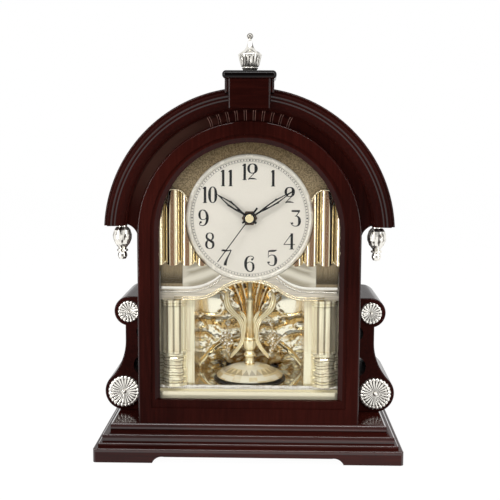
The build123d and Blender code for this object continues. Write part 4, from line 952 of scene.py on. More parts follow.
class CLOCK_OT_wood(bpy.types.Operator):
    """Lacquers every wooden piece"""

    bl_idname = "clock.wood"
    bl_label = "Lacquer the wood"

    def execute(self, context):
        upright = lacquered_wood("mahogany_upright", "Z", 1.0, 0.22).material
        base = lacquered_wood("mahogany_base", "X", 1.25, 0.9, BASE_BEADS, False, 0.40).material
        cap = lacquered_wood("mahogany_keystone", "X", 0.85, 0.4)
        deep = lacquered_wood("mahogany_deep", "Y", 1.0, 0.25).material
        framed = lacquered_wood("mahogany_frame", "Z", 1.0, 0.22, FRAME_BEADS).material
        dress(upright, "side_left", "side_right", "back_frame", "back_door")
        dress(framed, "front_frame")
        # the band's lacquer is a lighter copy, a painted sheen
        dress(carved_band(lacquered_wood("mahogany_band", "Z", 1.3, 1.0)), "front_board")
        dress(base, "base_plinth", "base_moulding", "base_deck")
        dress(black_cap(cap, KEYSTONE_TOP - CAP_DEPTH), "keystone")
        dress(deep, "roof_shell", "scroll_left", "scroll_right")
        dress(lacquered_wood("mahogany_beaded", "Y", 0.9, 0.0, ROOF_BEADS).material, "roof_moulding")
        dress(felt("felt"), "felt_pads")
        return {"FINISHED"}


# Reach from the middle, height and radius of the rosettes at the ends of a scroll
SCROLL_ENDS = [(0.1012, 0.1134, 0.0093), (0.1058, 0.0447, 0.0137)]
# Places on a rosette, as shares of its radius: its domed eye and the eye's rim, the waist of its ribs, and its lobes
EYE, EYE_RIM, WAIST, LOBES = 0.13, 0.132, 0.78, 0.84
# Rings of a rosette, in the same shares, and the points across one petal
ROSETTE_RINGS = [0.004, 0.03, 0.06, 0.09, 0.115, 0.128, EYE_RIM, 0.15, 0.20, 0.30, 0.42, 0.54, 0.64, 0.71, 0.75,
                 WAIST, 0.81, LOBES, 0.88, 0.92, 0.955, 0.98, 0.995, 1.0]
PETAL_STEPS = 10
# Radius, height and depth of the gadroons of the finial's outline, as shares of its radius and its height
FINIAL_ROWS = [
    (0.48, 0.0, 0), (0.51, 0.012, 0), (0.58, 0.05, 0), (0.68, 0.095, 0), (0.69, 0.105, 0), (0.60, 0.115, 0),
    (0.60, 0.125, 0), (0.71, 0.135, 0), (0.76, 0.16, 0.06), (0.81, 0.21, 0.09), (0.86, 0.27, 0.10),
    (0.91, 0.34, 0.10), (0.94, 0.385, 0.07), (0.95, 0.40, 0), (0.93, 0.41, 0), (0.98, 0.415, 0), (1.0, 0.43, 0),
    (0.985, 0.448, 0), (0.90, 0.475, 0), (0.76, 0.51, 0), (0.55, 0.545, 0), (0.40, 0.585, 0), (0.33, 0.625, 0),
    (0.24, 0.70, 0), (0.165, 0.765, 0), (0.115, 0.82, 0), (0.11, 0.842, 0), (0.18, 0.856, 0), (0.235, 0.878, 0),
    (0.265, 0.905, 0), (0.265, 0.93, 0), (0.235, 0.96, 0), (0.17, 0.983, 0), (0.08, 0.997, 0), (0.004, 1.0, 0)]
# Points across one gadroon, and how dark a groove's painted shade is for its depth
GADROON_STEPS, GROOVE_DARK = 12, 5.2 / 0.34


class CLOCK_OT_trim(bpy.types.Operator):
    """Makes the rosettes and the finial, and plates the pendants"""

    bl_idname = "clock.trim"
    bl_label = "Rosettes and finial"

    def height(self, share, u, tall):
        """How far a rosette stands proud, at a share of its radius and a place across a petal."""
        if share < EYE:
            return tall * (0.85 + 0.80 * math.sqrt(1 - (share / EYE) ** 2))
        rib = math.sqrt(1 - u ** 3)
        base = tall * (0.46 + 0.54 * min(1.0, (share - EYE) / 0.66))
        groove = 0.34 * min(1.0, (share - 0.12) / 0.16)
        rise = base * (1 - groove * (1 - rib)) - tall * bell(share, WAIST, 0.035) * (0.10 + 0.45 * (1 - rib))
        if share > LOBES:
            rise *= math.sqrt(max(0.0, 1 - ((share - LOBES) / (1 - LOBES)) ** 2.4))
        return max(0.0, rise)

    def rosette(self, material, centre, radius, petals):
        """A pressed rosette: ribs that spread from a domed eye, pits between them, and lobed tips."""
        tall = settings().ornament.petal_height
        steps = petals * PETAL_STEPS
        rings = []
        for share in ROSETTE_RINGS:
            ring = []
            for step in range(steps):
                angle = 2 * math.pi * step / steps
                u = abs((step / PETAL_STEPS) % 1 * 2 - 1)
                reach = radius * share * (0.93 + 0.07 * math.sqrt(1 - u * u))
                ring.append((reach * math.cos(angle), reach * math.sin(angle),
                             0.0 if share == 1.0 else self.height(share, u, tall)))
                # painted shade: dark between the ribs, in the pits at their waist and round the eye's rim
                between = smooth((u - 0.52) / 0.36)
                inner = smooth((share - EYE) / 0.05) * smooth((0.74 - share) / 0.04)
                self.patina.append(max(between * inner * 0.9, between * bell(share, 0.79, 0.05) * 1.6,
                                       0.7 * (share == EYE_RIM)))
            rings.append(ring)
        shape = bmesh.new()
        loft(shape, rings)
        mesh = mesh_from(shape, "rosette", Matrix.Translation(centre) @ FRONT)
        mesh.materials.append(material)
        return mesh

    def finial(self):
        """The urn: a foot, a gadrooned cup, a lid that rises to a stalk, and a ball."""
        low, high = node_box("finial")
        radius, count = (high.x - low.x) / 2, settings().ornament.gadroons
        steps = count * GADROON_STEPS

        def groove(angle):
            return 1 - abs(math.cos(angle * count / 2)) ** 0.7

        shape = bmesh.new()
        lathe(shape, [(r * radius, z * (high.z - KEYSTONE_TOP)) for r, z, _ in FINIAL_ROWS], steps,
              lambda row, angle: 1 - FINIAL_ROWS[row][2] * groove(angle))
        middle = (low + high) / 2
        mesh = mesh_from(shape, "finial_turned", Matrix.Translation((middle.x, middle.y, KEYSTONE_TOP)))
        # painted shade: the deeper a gadroon's groove, the darker
        age(mesh, [GROOVE_DARK * depth * groove(2 * math.pi * step / steps)
                   for _, _, depth in FINIAL_ROWS for step in range(steps)])
        return mesh

    def execute(self, context):
        plating, made = settings().metal.silver[:], settings().ornament
        silver = chased_silver("chased_silver", plating)
        grooved = grooved_silver("grooved_silver", plating)
        urn = grooved_silver("urn_silver", shade(plating, 0.85), 0.08, 0.7)
        wheels, self.patina = [], []
        for side, scroll in ((-1, "scroll_left"), (1, "scroll_right")):
            back = node_box(scroll)[0].y
            for (reach, rise, radius), petals in zip(SCROLL_ENDS, (made.small_petals, made.large_petals)):
                wheels.append(self.rosette(grooved, Vector((side * reach, back, rise)), radius, petals))
        pressed = joined("rosettes_pressed", wheels)
        age(pressed, self.patina)
        finish_piece("rosettes_pressed", pressed, None, "case", ("rosettes",))
        finish_piece("finial_turned", self.finial(), urn, "case", ("finial",))
        dress(silver, "pendants")
        return {"FINISHED"}


class CLOCK_OT_dial(bpy.types.Operator):
    """Prints the dial and blackens the hands"""

    bl_idname = "clock.dial"
    bl_label = "Dial and hands"

    def track(self, grey):
        """The minute track: fine marks between two lines, with a dot at every five minutes."""
        dial = settings().dial
        middle, depth = (dial.track_inner + dial.track_outer) / 2, dial.track_outer - dial.track_inner
        print_height, line_steps = 0.02 * MM, 180
        marks = round_row("minute_marks", "bar", dial.marks, middle, (depth * 0.30, 0.26 * MM, print_height),
                          print_height, grey)
        fives = round_row("five_minute_dots", "bead", 12, middle, (0.72 * MM, 0.62 * MM, 0.06 * MM), print_height,
                          grey)
        shape = bmesh.new()
        for radius, width in ((dial.track_inner, 0.17 * MM), (dial.track_outer, 0.20 * MM)):
            near, far, high = radius - width / 2, radius + width / 2, 2 * print_height
            square = [(near, 0), (far, 0), (far, high), (near, high)]
            rings = [[(r * math.cos(a), r * math.sin(a), z) for r, z in square]
                     for a in [2 * math.pi * step / line_steps for step in range(line_steps)]]
            loft(shape, rings, looped=True)
        lines = mesh_from(shape, "lines")
        lines.materials.append(grey)
        mesh = joined("minute_track", [lines, marks, fives])
        mesh.transform(Matrix.Translation(DIAL_CENTRE) @ FRONT)
        return mesh

    def execute(self, context):
        dress(printed_dial(), "dial_plate")
        black, grey = ink("numeral_ink", settings().dial.ink), ink("track_ink", (0.045, 0.045, 0.05))
        finish_piece("hour_numerals", numeral_mesh(), black, "case", rounded=False)
        finish_piece("minute_track", self.track(grey), None, "case", rounded=False)
        dress(bright_metal("pale_ring", (0.83, 0.79, 0.70), 2.6, 0.18), "dial_bezel")
        dress(ink("hand_enamel", (0.008, 0.008, 0.009), 0.25), "hour_hand", "minute_hand", "second_hand")
        dress(bright_metal("cap_brass", (0.95, 0.82, 0.52)), "centre_cap")
        # the nut is dark as a painted shadow round the hub
        dress(satin_metal("nut_bronze", (0.10, 0.065, 0.045), 0.4).material, "hex_nut")
        return {"FINISHED"}


# The lyre's arm as pairs of places on its outer and inner edge (millimetres from the middle and above the table)
ARM_EDGES = [((18.6, 130.2), (18.2, 129.6)), ((20.6, 127.3), (18.2, 127.6)), ((21.9, 124.2), (17.8, 124.5)),
             ((22.6, 119.5), (17.0, 120.6)), ((21.6, 115.2), (15.4, 116.6)), ((18.4, 110.9), (12.9, 113.0)),
             ((14.4, 107.6), (9.7, 109.6)), ((11.0, 104.2), (6.1, 105.5)), ((8.8, 99.6), (4.0, 99.9)),
             ((7.8, 93.7), (3.6, 93.3)), ((8.5, 86.9), (4.6, 86.4)), ((11.2, 81.3), (7.7, 80.2)),
             ((14.7, 76.8), (11.8, 75.3)), ((16.3, 73.6), (14.6, 72.4)), ((16.6, 71.6), (16.2, 71.3))]
CURL_EDGES = [((12.6, 107.4), (13.2, 109.4)), ((15.6, 106.3), (16.4, 107.7)), ((18.4, 104.4), (19.6, 105.2)),
              ((20.2, 102.2), (21.0, 102.5))]
WEB_EDGES = [((8.6, 112.4), (8.0, 112.8)), ((7.4, 108.4), (5.0, 110.6)), ((5.2, 103.8), (2.6, 105.4)),
             ((4.3, 98.2), (1.9, 98.4)), ((3.9, 93.5), (2.6, 93.4))]
# The lyre's column: radius and height in millimetres above the disc's top
STEM_ROWS = [(4.2, -0.6), (4.2, 1.2), (3.5, 2.0), (3.4, 6.0), (3.9, 6.8), (4.9, 7.6), (5.0, 8.6), (4.8, 9.6),
             (3.8, 10.3), (3.5, 11.2), (3.5, 12.6), (4.4, 13.6), (5.0, 15.0), (5.2, 17.0), (5.2, 19.6), (4.9, 21.6),
             (4.3, 22.6), (3.85, 23.2), (3.75, 23.8), (2.2, 52.8), (2.3, 53.2), (2.7, 53.6), (2.75, 55.0),
             (2.7, 56.4), (2.2, 56.9), (1.75, 57.3), (1.7, 60.0), (1.7, 81.0)]


def apron_line():
    """The apron's lower edge in millimetres: flat ends, and an ogee that rises to the middle."""
    end, flat, low, crown, bend = 61.0, 44.0, 127.0, 15.0, 0.42
    bend_x, bend_z = flat * (1 - bend), low + crown * bend
    run = flat - bend_x
    foot = (run ** 2 + (bend_z - low) ** 2) / (2 * (bend_z - low))
    rise = low + crown - bend_z
    head = (bend_x ** 2 + rise ** 2) / (2 * rise)
    spread = math.degrees(math.asin(bend_x / head))
    tip = math.degrees(math.asin(run / foot))
    left = arc_points((-flat, low + foot), foot, -90, -90 + tip, 8)
    top = arc_points((0, low + crown - head), head, 90 + spread, 90 - spread, 30)
    right = [(-x, z) for x, z in reversed(left)]
    return [(-end, low)] + left + top[1:-1] + right + [(end, low)]


def at_dial(x, z):
    """Whether a place in millimetres is on the dial's ring, or less than 0.8 from it."""
    return math.hypot(x, z - DIAL_CENTRE.z / MM) < BEZEL_RADIUS / MM + 0.8


def cornice_line():
    """The cornice's lower edge in millimetres, from the opening's edge to the dial."""
    edge, flat, inner, low, lift, tall = 71.6, 50.0, 22.0, 136.3, 11.7, 2.6
    run = flat - inner
    radius = (run ** 2 + lift ** 2) / (2 * lift)
    points = [(edge - 0.5 * step, low) for step in range(43)]
    for step in range(1, 80):
        x = flat - 0.4 * step
        z = low + radius - math.sqrt(radius ** 2 - (flat - x) ** 2)
        if x < inner or at_dial(x, z - tall):
            break
        points.append((x, z))
    return points


def scallop_line():
    """The reeds' lower ends in millimetres, from the opening's edge to the dial."""
    edge, low = 71.8, node_box("upper_reeds")[0].z / MM
    radius = ((REED_PITCH / 2) ** 2 + REED_BOW ** 2) / (2 * REED_BOW)
    points = []
    for step in range(200):
        x = edge - 0.2 * step
        away = (x - REED_FIRST + REED_PITCH / 2) % REED_PITCH - REED_PITCH / 2
        z = low + radius - math.sqrt(radius ** 2 - away ** 2)
        if at_dial(x, z):
            break
        points.append((x, z))
    return points


# Smooth ovals of the back wall's relief: middle (from the side and above the floor) and half sizes in millimetres
OVALS = ((35, 60, 15, 11.5), (30, 44, 5, 3), (47, 40, 7, 4))
# The wall's plume and its swoop of leaves: heights in millimetres above the floor
PLUME_ROOT, SWOOP_TOP = 34, 31
# The beads along the kerb's lip: how many, half the row's length, depths under the stage's top, and their size
LIP_BEADS, LIP_HALF, LIP_DEPTHS, LIP_SIZE = 86, 66 * MM, (0.8 * MM, 2.6 * MM), (0.55 * MM, 0.45 * MM, 0.55 * MM)


class CLOCK_OT_gilding(bpy.types.Operator):
    """Gilds the panels, columns and the pendulum's room"""

    bl_idname = "clock.gilding"
    bl_label = "Panels and columns"

    def relief(self, x, z):
        """Height and patina from 0 to 1 on the back wall, at millimetres from the middle and above the floor."""
        side = abs(x)
        sway = noise.noise(Vector((x * 0.045, z * 0.06, 1.7)))
        fine = noise.noise(Vector((x * 0.19, z * 0.24, 4.1))) + 0.5 * noise.noise(Vector((x * 0.46, z * 0.55, 7.7)))
        warp = noise.noise(Vector((x * 0.08 + sway, z * 0.10, 9.3)))
        turn = math.atan2(side, z - PLUME_ROOT)
        plume = smooth((0.46 + 0.05 * math.cos(z * 0.5) - turn) / 0.07) * smooth((z - PLUME_ROOT - 4) / 6)
        leaf = 0.5 + 0.5 * math.cos(turn * 38 + 1.5 * sway)
        oval, rim = 0.0, 0.0
        for middle_x, middle_z, half_x, half_z in OVALS:
            away = math.hypot((side - middle_x - 3 * sway) / half_x, (z - middle_z) / half_z)
            oval = max(oval, math.sqrt(max(0.0, 1 - away * away)))
            rim = max(rim, bell(away, 1.12, 0.13))
        wave = math.sin(z * 0.50 + 3.2 * warp + 1.1 * math.sin(side * 0.11))
        clouds = smooth((z - 24) / 8) * smooth((58 - z) / 8)
        ridge = SWOOP_TOP - 0.017 * max(0.0, side - 6) ** 2
        swoop = bell(z, ridge, 1.7) * smooth((side - 6) / 6)
        low = smooth((ridge - z) / 6)
        height = 0.30 * (1 - plume) * (0.5 + 0.5 * wave) * clouds + 0.30 * (0.5 + 0.5 * fine)
        height = max(height, 0.85 * oval * (1 - plume)) + plume * (0.35 + 0.45 * leaf) + 0.55 * swoop
        height += low * 0.30 * (0.5 + 0.5 * math.sin(6.0 * warp + side * 0.35)) * (1 - plume)
        patina = 0.20 + 0.55 * clouds * smooth(wave * 2.0) + 0.75 * low * smooth(0.5 + 1.4 * fine)
        patina += 0.5 * rim * (1 - low)
        patina = max(patina * (1 - 0.95 * oval), plume * (1.0 - 0.55 * leaf)) - 0.6 * swoop
        return min(1.0, max(0.0, height)), min(1.0, max(0.0, patina))

    def wall(self):
        """The embossed back wall: a closed slab with a plume between two ovals, clouds and a swoop of leaves."""
        depth = settings().ornament.relief
        low, high = node_box("back_mirror")
        columns, rows = 240, 150
        rings, patina = [], []
        for row in range(rows + 1):
            rise = (high.z - low.z) * row / rows
            room = depth * (0.45 + 0.55 * smooth((rise / MM - 14) / 6))  # the relief is shallower near the floor
            ring = []
            for column in range(columns + 1):
                x = low.x + (high.x - low.x) * column / columns
                tall, dark = self.relief(x / MM, rise / MM)
                ring.append((x, low.y + 0.3 * MM - tall * room, low.z + rise))
                patina.append(dark)
            ring += [(high.x, high.y, low.z + rise), (low.x, high.y, low.z + rise)]
            patina += [0.5, 0.5]
            rings.append(ring)
        shape = bmesh.new()
        loft(shape, rings)
        mesh = mesh_from(shape, "embossed_wall")
        age(mesh, patina)
        return mesh

    def edgings(self):
        """The bright edgings of the apron's arch, twice, and of the reeds beside the dial."""
        thick = settings().ornament.edging
        shape = bmesh.new()
        for lift, size in ((0.5, 1.0), (2.4, 0.7)):
            wire(shape, [(x * MM, VALANCE_FRONT, (z + lift) * MM) for x, z in apron_line()], thick * size)
        foot_y, head_y = node_box("wings")[0].y - 0.2 * MM, node_box("upper_reeds")[0].y + 0.2 * MM
        head_arc = arc_points((60.5, 206.3), 10.8, 4, 176, 24)
        for side in (-1, 1):
            wire(shape, [(side * x * MM, foot_y, z * MM) for x, z in scallop_line()], thick * 0.9)
            wire(shape, [(side * x * MM, head_y, z * MM) for x, z in head_arc], thick * 0.7)
        return mesh_from(shape, "bright_edgings")

    def lower_line(self):
        """The cornice's lower line, twisted like a rope."""
        drop, radius = 2.5, 0.75 * MM
        shape = bmesh.new()
        for side in (-1, 1):
            wire(shape, [(side * x * MM, VALANCE_FRONT, (z - drop) * MM) for x, z in cornice_line()], radius)
        return mesh_from(shape, "cornice_rope")

    def lip(self, pearl):
        """Two rows of beads along the kerb's lip."""
        pitch = 2 * LIP_HALF / (LIP_BEADS - 1)
        rows = [straight_row("lip_beads", "bead", LIP_BEADS, (-LIP_HALF, PANEL_FRONT - 2.1 * MM, STAGE_TOP - depth),
                             pitch, LIP_SIZE, pearl) for depth in LIP_DEPTHS]
        return joined("lip_beads", rows)

    def execute(self, context):
        metal = settings().metal
        dress(stage_plate("mirror_gold", shade(metal.gold, 1.06)), "stage")
        dress(antique_plain("room_side", shade(metal.umber, 0.9), 0.21), "side_mirrors")
        dress(column_gold("column_gold", shade(metal.gold, 1.03)), "pilasters")
        dress(reed_plate("reed_gold", shade(metal.gold, 0.90)), "upper_reeds")
        dress(sanded_panel("champagne_sanded", metal.champagne[:], 0.236), "dial_panel")
        dress(wing_plate("champagne_wing", shade(metal.champagne, 0.85)), "wings")
        dress(satin_metal("apron_satin", metal.satin, 0.40, 0.75, "X").material, "valance")
        dress(bright_metal("bright_line", (0.95, 0.92, 0.84), 1.2, 0.7), "cornice")
        embossed = antique_gilding("embossed_gold", (0.99, 0.95, 0.77))
        finish_piece("embossed_wall", self.wall(), embossed, "case", ("back_mirror",))
        edge = bright_metal("edging_gold", shade(metal.gold, 1.04), solid=0.8)
        finish_piece("bright_edgings", self.edgings(), edge, "case")
        finish_piece("cornice_rope", self.lower_line(), rope_silver("rope_silver"), "case")
        pearl = bright_metal("lip_pearl", (0.84, 0.84, 0.84), 5.0, 0.0)
        finish_piece("lip_beads", self.lip(pearl), None, "case")
        return {"FINISHED"}


# The disc's cut: its number of sides, and its rows from the table outward as shares of its radius and height, and a
# part of a side by which the row is turned
DISC_SIDES = 24
DISC_ROWS = [(0.30, 0.995, 0), (0.56, 0.86, 0.5), (0.80, 0.52, 0), (0.88, 0.42, 0), (0.995, 0.16, 0),
             (0.995, 0.02, 0), (0.90, 0.0, 0), (0.042, 0.0, 0), (0.042, 0.45, 0)]
# A string, in millimetres from the middle and above the table: the middle of its flower, its beads and their radius,
# and the line of its wire
FLOWER = (20.2, 88.0)
STRING_BEADS = ((18.6, 101.8, 2.6), (18.7, 78.6, 2.5))
STRING_LINE = ((20.6, 102.6), (18.8, 99.5), (19.6, 94.0), (20.2, 88.0), (19.6, 82.0), (18.9, 80.0), (17.2, 73.2))


class CLOCK_OT_pendulum(bpy.types.Operator):
    """Makes the lyre and its strings of cut glass, and cuts the disc"""

    bl_idname = "clock.pendulum"
    bl_label = "Pendulum"

    def leaf(self, shape, side, edges, ribs, thick, crest):
        """A flat arm between two edge lines, with raised ribs along it on both faces."""
        across = 6 * ribs
        rings = []
        for ox, oz, ix, iz in flowing([(*outer, *inner) for outer, inner in edges], 5):
            front, back, aged = [], [], []
            for step in range(across + 1):
                v = step / across
                x, z = ox + (ix - ox) * v, oz + (iz - oz) * v
                rib = abs(math.sin(math.pi * ribs * v))
                out = thick / 2 * (0.35 + 0.65 * (1 - (2 * v - 1) ** 4)) + crest * rib
                front.append((side * x * MM, PENDULUM_Y - out * MM, z * MM))
                back.append((side * x * MM, PENDULUM_Y + out * MM, z * MM))
                aged.append((1 - rib) ** 1.7 if 0 < step < across else 0.75)
            rings.append(front + back[::-1])
            self.aged += aged + aged[::-1]
        loft(shape, rings)

    def lyre(self):
        """The lyre: a turned column with a guide pin, and on each side a horned arm, a curl and a web."""
        stem_steps, pin_steps, pin_radius, middle = 64, 32, 1.2 * MM, (0, PENDULUM_Y)
        shape = bmesh.new()
        rows = [(r * MM, DISC_HIGH.z + z * MM) for r, z in STEM_ROWS]
        lathe(shape, rows, stem_steps, middle=middle)
        steep = [abs(a - b) > 0.6 for (a, _), (b, _) in zip(STEM_ROWS, STEM_ROWS[1:])] + [False]
        self.aged = [0.8 * dark for dark in steep for _ in range(stem_steps)] + [0.0] * (2 * pin_steps)
        pin_top = node_box("pendulum_lyre")[1].z
        lathe(shape, [(pin_radius, rows[-1][1] - MM), (pin_radius, pin_top)], pin_steps, middle=middle)
        for side in (-1, 1):
            self.leaf(shape, side, ARM_EDGES, 3, 2.0, 0.45)
            self.leaf(shape, side, CURL_EDGES, 1, 1.4, 0.4)
            self.leaf(shape, side, WEB_EDGES, 2, 1.4, 0.35)
        mesh = mesh_from(shape, "lyre_cast")
        age(mesh, self.aged)
        return mesh

    def disc(self):
        """The disc, cut like a brilliant: a table, two rows of triangles and a sloping girdle."""
        radius, tall = DISC_HIGH.x, DISC_HIGH.z - DISC_LOW.z
        shape = bmesh.new()
        rows = []
        for reach, share, offset in DISC_ROWS:
            angles = [2 * math.pi * (step + offset) / DISC_SIDES for step in range(DISC_SIDES)]
            rows.append([shape.verts.new((reach * radius * math.sin(angle),
                                          PENDULUM_Y - reach * radius * math.cos(angle),
                                          DISC_LOW.z + share * tall)) for angle in angles])
        for index, (inner, outer) in enumerate(zip(rows, rows[1:])):
            slant = DISC_ROWS[index + 1][2] - DISC_ROWS[index][2]
            for step in range(DISC_SIDES):
                after = (step + 1) % DISC_SIDES
                if not slant:
                    shape.faces.new((inner[step], inner[after], outer[after], outer[step]))
                elif slant > 0:
                    shape.faces.new((inner[step], inner[after], outer[step]))
                    shape.faces.new((inner[after], outer[after], outer[step]))
                else:
                    # these triangles take the second finish, a painted shade
                    shape.faces.new((inner[step], outer[after], outer[step])).material_index = 1
                    shape.faces.new((inner[step], inner[after], outer[after]))
        shape.faces.new(rows[0])
        shape.faces.new(rows[-1][::-1])
        return mesh_from(shape, "disc_cut")

    def jewel(self, shape, x, z, radius, flat=1.0, cuts=1):
        """A faceted bead."""
        stretch = Matrix.Diagonal((1.0, flat, 1.0, 1.0))
        place = Matrix.Translation((x * MM, PENDULUM_Y, z * MM)) @ stretch @ Matrix.Rotation(0.6, 4, "X")
        bmesh.ops.create_icosphere(shape, subdivisions=cuts, radius=radius * MM, matrix=place)

    def strings(self, glass, gold):
        """Each string: a flower of cut glass between two beads, with gold studs and a wire."""
        petals, stud_turn = 8, 0.39
        clear, metal = bmesh.new(), bmesh.new()
        for side in (-1, 1):
            x, z = side * FLOWER[0], FLOWER[1]
            self.jewel(clear, x, z, 2.7, 0.9, 2)
            for step in range(petals):
                angle = 2 * math.pi * (step + 0.5) / petals
                self.jewel(clear, x + 4.3 * math.cos(angle), z + 5.0 * math.sin(angle), 2.0, 0.8)
                angle += stud_turn
                self.jewel(metal, x + 2.9 * math.cos(angle), z + 3.3 * math.sin(angle), 0.55)
            for bead_x, bead_z, radius in STRING_BEADS:
                self.jewel(clear, side * bead_x, bead_z, radius, 1.0, 2)
            line = [(side * wire_x * MM, PENDULUM_Y, wire_z * MM) for wire_x, wire_z in STRING_LINE]
            wire(metal, flowing(line, 4), 0.45 * MM)
        meshes = [mesh_from(clear, "cut_glass"), mesh_from(metal, "studs")]
        meshes[0].materials.append(glass)
        meshes[1].materials.append(gold)
        return joined("glass_strings", meshes)

    def execute(self, context):
        gold = bright_metal("pendulum_gold", shade(settings().metal.gold, 1.04), 0.8, 0.85)
        cast = antique_gilding("lyre_gold", (1.0, 0.92, 0.63), 0.10, 0.42)
        finish_piece("lyre_cast", self.lyre(), cast, "pendulum", ("pendulum_lyre",))
        finish_piece("glass_strings", self.strings(cut_glass("cut_glass"), gold), None, "pendulum",
                     ("crystals",), rounded=False)
        disc = self.disc()
        # the second finish is a darker copy of the first, painted shade on half the triangles of one row
        for finish in (cut_metal("disc_gold", (1.0, 0.95, 0.76)), cut_metal("disc_shade", (0.62, 0.57, 0.45))):
            disc.materials.append(finish)
        finish_piece("disc_cut", disc, None, "pendulum", ("pendulum_disc",), rounded=False)
        # the well under the disc is near black: a painted shadow under the disc
        dress(moulded_plastic("dark_ring", (0.02, 0.017, 0.013), 0.3), "pendulum_well")
        dress(satin_metal("magnet_steel", (0.30, 0.30, 0.31), 0.3).material, "pendulum_magnet")
        return {"FINISHED"}


class CLOCK_OT_works(bpy.types.Operator):
    """Finishes the movement, the drive, the door and the pane"""

    bl_idname = "clock.works"
    bl_label = "Movement, drive, door and pane"

    def execute(self, context):
        dress(moulded_plastic("black_plastic", (0.018, 0.018, 0.02)), "movement_case", "drive_case", "set_knob",
              "door_magnet")
        dress(moulded_plastic("smoked_cover", (0.10, 0.105, 0.11), 0.2), "movement_cover")
        dress(moulded_plastic("white_plastic", (0.72, 0.71, 0.66), 0.35), "intermediate_wheel", "second_wheel",
              "third_wheel", "minute_wheel", "hour_wheel")
        dress(bright_metal("hinge_brass", (0.80, 0.58, 0.28), 2.2), "centre_wheel", "hinge_frame_leaves",
              "hinge_door_leaves", "door_knob")
        dress(satin_metal("rotor_steel", (0.45, 0.45, 0.46), 0.3).material, "rotor")
        dress(wound_wire("wound_copper"), "movement_coil", "drive_coil")
        dress(cell_wrap("cell_sleeve"), "battery", "drive_battery")
        dress(clear_pane("window_glass"), "front_glass")
        return {"FINISHED"}


# The studio: half the floor's width, the point that the lamps look at, and each lamp's place, width and height in
# metres and share of the lamp power
FLOOR_HALF = 4
LAMP_AIM = Vector((0, -0.05, 0.17))
LAMPS = (("overhead", (0, -0.60, 1.0), (1.4, 0.10), 1.0), ("left_strip", (-0.80, -0.60, 0.40), (0.10, 1.0), 0.70),
         ("right_strip", (0.80, -0.60, 0.40), (0.10, 1.0), 0.30))


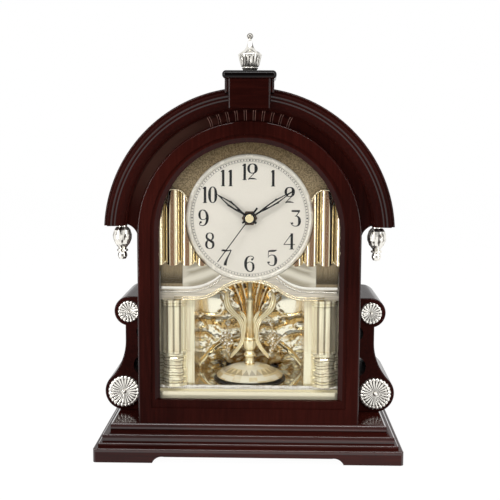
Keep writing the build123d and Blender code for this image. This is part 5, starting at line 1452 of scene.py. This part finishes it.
class CLOCK_OT_studio(bpy.types.Operator):
    """Sets the floor, the lamps, the surroundings and the camera"""

    bl_idname = "clock.studio"
    bl_label = "Studio"

    def lamp(self, name, place, size, power):
        """A soft rectangular lamp that looks at the clock."""
        data = bpy.data.lights.new(name, "AREA")
        data.shape, data.size, data.size_y, data.energy = "RECTANGLE", size[0], size[1], power
        lamp = new_piece(name, data)
        lamp.location = place
        lamp.rotation_euler = (LAMP_AIM - Vector(place)).to_track_quat("-Z", "Y").to_euler()

    def seen(self, web):
        """1 for what the camera sees, also through glass, and 1 for what shiny surfaces see."""
        path = {ray: web.node("ShaderNodeLightPath", None, None, f"Is {ray} Ray")
                for ray in ("Camera", "Transmission", "Glossy")}
        return path["Camera"].most(path["Transmission"]), path["Glossy"]

    def floor(self):
        """A pale floor that shows as white and keeps the clock's shadow."""
        mesh = bpy.data.meshes.new("floor")
        corners = [(x * FLOOR_HALF, y * FLOOR_HALF, 0) for x, y in ((-1, -1), (1, -1), (1, 1), (-1, 1))]
        mesh.from_pydata(corners, [], [(0, 1, 2, 3)])
        paint = Paint("pale_floor", (0.86, 0.86, 0.86), roughness=0.9)
        paint.coloured(paint.cloud(30.0, 2.0), (0.85, 0.85, 0.85), (0.87, 0.87, 0.87))
        clear, glossy = self.seen(paint)
        white = paint.node("ShaderNodeEmission", None, {"Color": (1, 1, 1), "Strength": 1.03})
        shaded = Wire(paint, paint.shader.outputs[0])
        paint.surface(paint.node("ShaderNodeMixShader", None, {0: clear.most(glossy) * 0.95, 1: shaded, 2: white}))
        mesh.materials.append(paint.material)
        new_piece("floor", mesh)

    def surroundings(self):
        """A white room to the eye; shiny pieces see it too, with dark screens beside the camera."""
        world = bpy.data.worlds.new("studio")
        bpy.context.scene.world = world
        world.use_nodes = True
        world.node_tree.nodes.clear()
        web = Web(world.node_tree)
        clear, glossy = self.seen(web)
        way = web.node("ShaderNodeTexCoord", output="Generated")
        x, y, z = (web.node("ShaderNodeSeparateXYZ", None, {0: way}, axis) for axis in "XYZ")
        across, front = abs(x), (-y).above(0.15, 0.3)
        screen = across.below(0.36, 0.14) * z.below(0.45, 0.25)
        slit = across.above(0.84, 0.03) * across.below(0.92, 0.03)
        room = 1 - front * screen.most(slit) * 0.72
        strength = clear + (1 - clear) * (glossy * room + (1 - glossy) * settings().studio.fill)
        back = web.node("ShaderNodeBackground", None, {"Color": (1, 1, 1), "Strength": strength})
        web.node("ShaderNodeOutputWorld", None, {"Surface": back})

    def camera(self):
        """The camera, at the photograph's viewing angle."""
        studio = settings().studio
        data = bpy.data.cameras.new("camera")
        data.sensor_width, data.lens, data.clip_start = 36.0, studio.lens, 0.01
        camera = new_piece("camera", data)
        turn = (Matrix.Rotation(studio.yaw, 4, "Z") @ Matrix.Rotation(math.pi / 2 - studio.pitch, 4, "X")
                @ Matrix.Rotation(studio.roll, 4, "Z"))
        camera.matrix_world = Matrix.Translation(studio.station) @ turn
        bpy.context.scene.camera = camera

    def execute(self, context):
        self.floor()
        self.surroundings()
        for name, place, size, share in LAMPS:
            self.lamp(name, place, size, settings().studio.lamp * share)
        self.camera()
        bpy.context.scene.view_settings.view_transform = "Standard"
        return {"FINISHED"}


class CLOCK_PT_panel(bpy.types.Panel):
    """Lists the clock's steps and settings"""

    bl_label = "Desk clock"
    bl_idname = "CLOCK_PT_panel"
    bl_space_type = "VIEW_3D"
    bl_region_type = "UI"
    bl_category = "Clock"

    def draw(self, context):
        made = context.scene.clock_settings
        for operator in STEPS:
            self.layout.operator(operator.bl_idname)
        for name in ("wood", "metal", "dial", "ornament", "studio"):
            group = getattr(made, name)
            box = self.layout.box()
            box.label(text=name.title())
            for field in group.__annotations__:
                box.prop(group, field)


STEPS = [CLOCK_OT_wood, CLOCK_OT_trim, CLOCK_OT_dial, CLOCK_OT_gilding, CLOCK_OT_pendulum, CLOCK_OT_works,
         CLOCK_OT_studio]
CLASSES = [WoodSettings, MetalSettings, DialSettings, OrnamentSettings, StudioSettings, ClockSettings, *STEPS,
           CLOCK_PT_panel]


def register():
    """Adds the clock's classes and settings to Blender."""
    for kind in CLASSES:
        bpy.utils.register_class(kind)
    bpy.types.Scene.clock_settings = PointerProperty(type=ClockSettings)


def unregister():
    """Takes the clock's classes and settings out of Blender."""
    del bpy.types.Scene.clock_settings
    for kind in reversed(CLASSES):
        bpy.utils.unregister_class(kind)


def main():
    """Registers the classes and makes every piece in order."""
    register()
    bpy.ops.clock.wood()
    bpy.ops.clock.trim()
    bpy.ops.clock.dial()
    bpy.ops.clock.gilding()
    bpy.ops.clock.pendulum()
    bpy.ops.clock.works()
    bpy.ops.clock.studio()


if __name__ == "__main__":
    main()
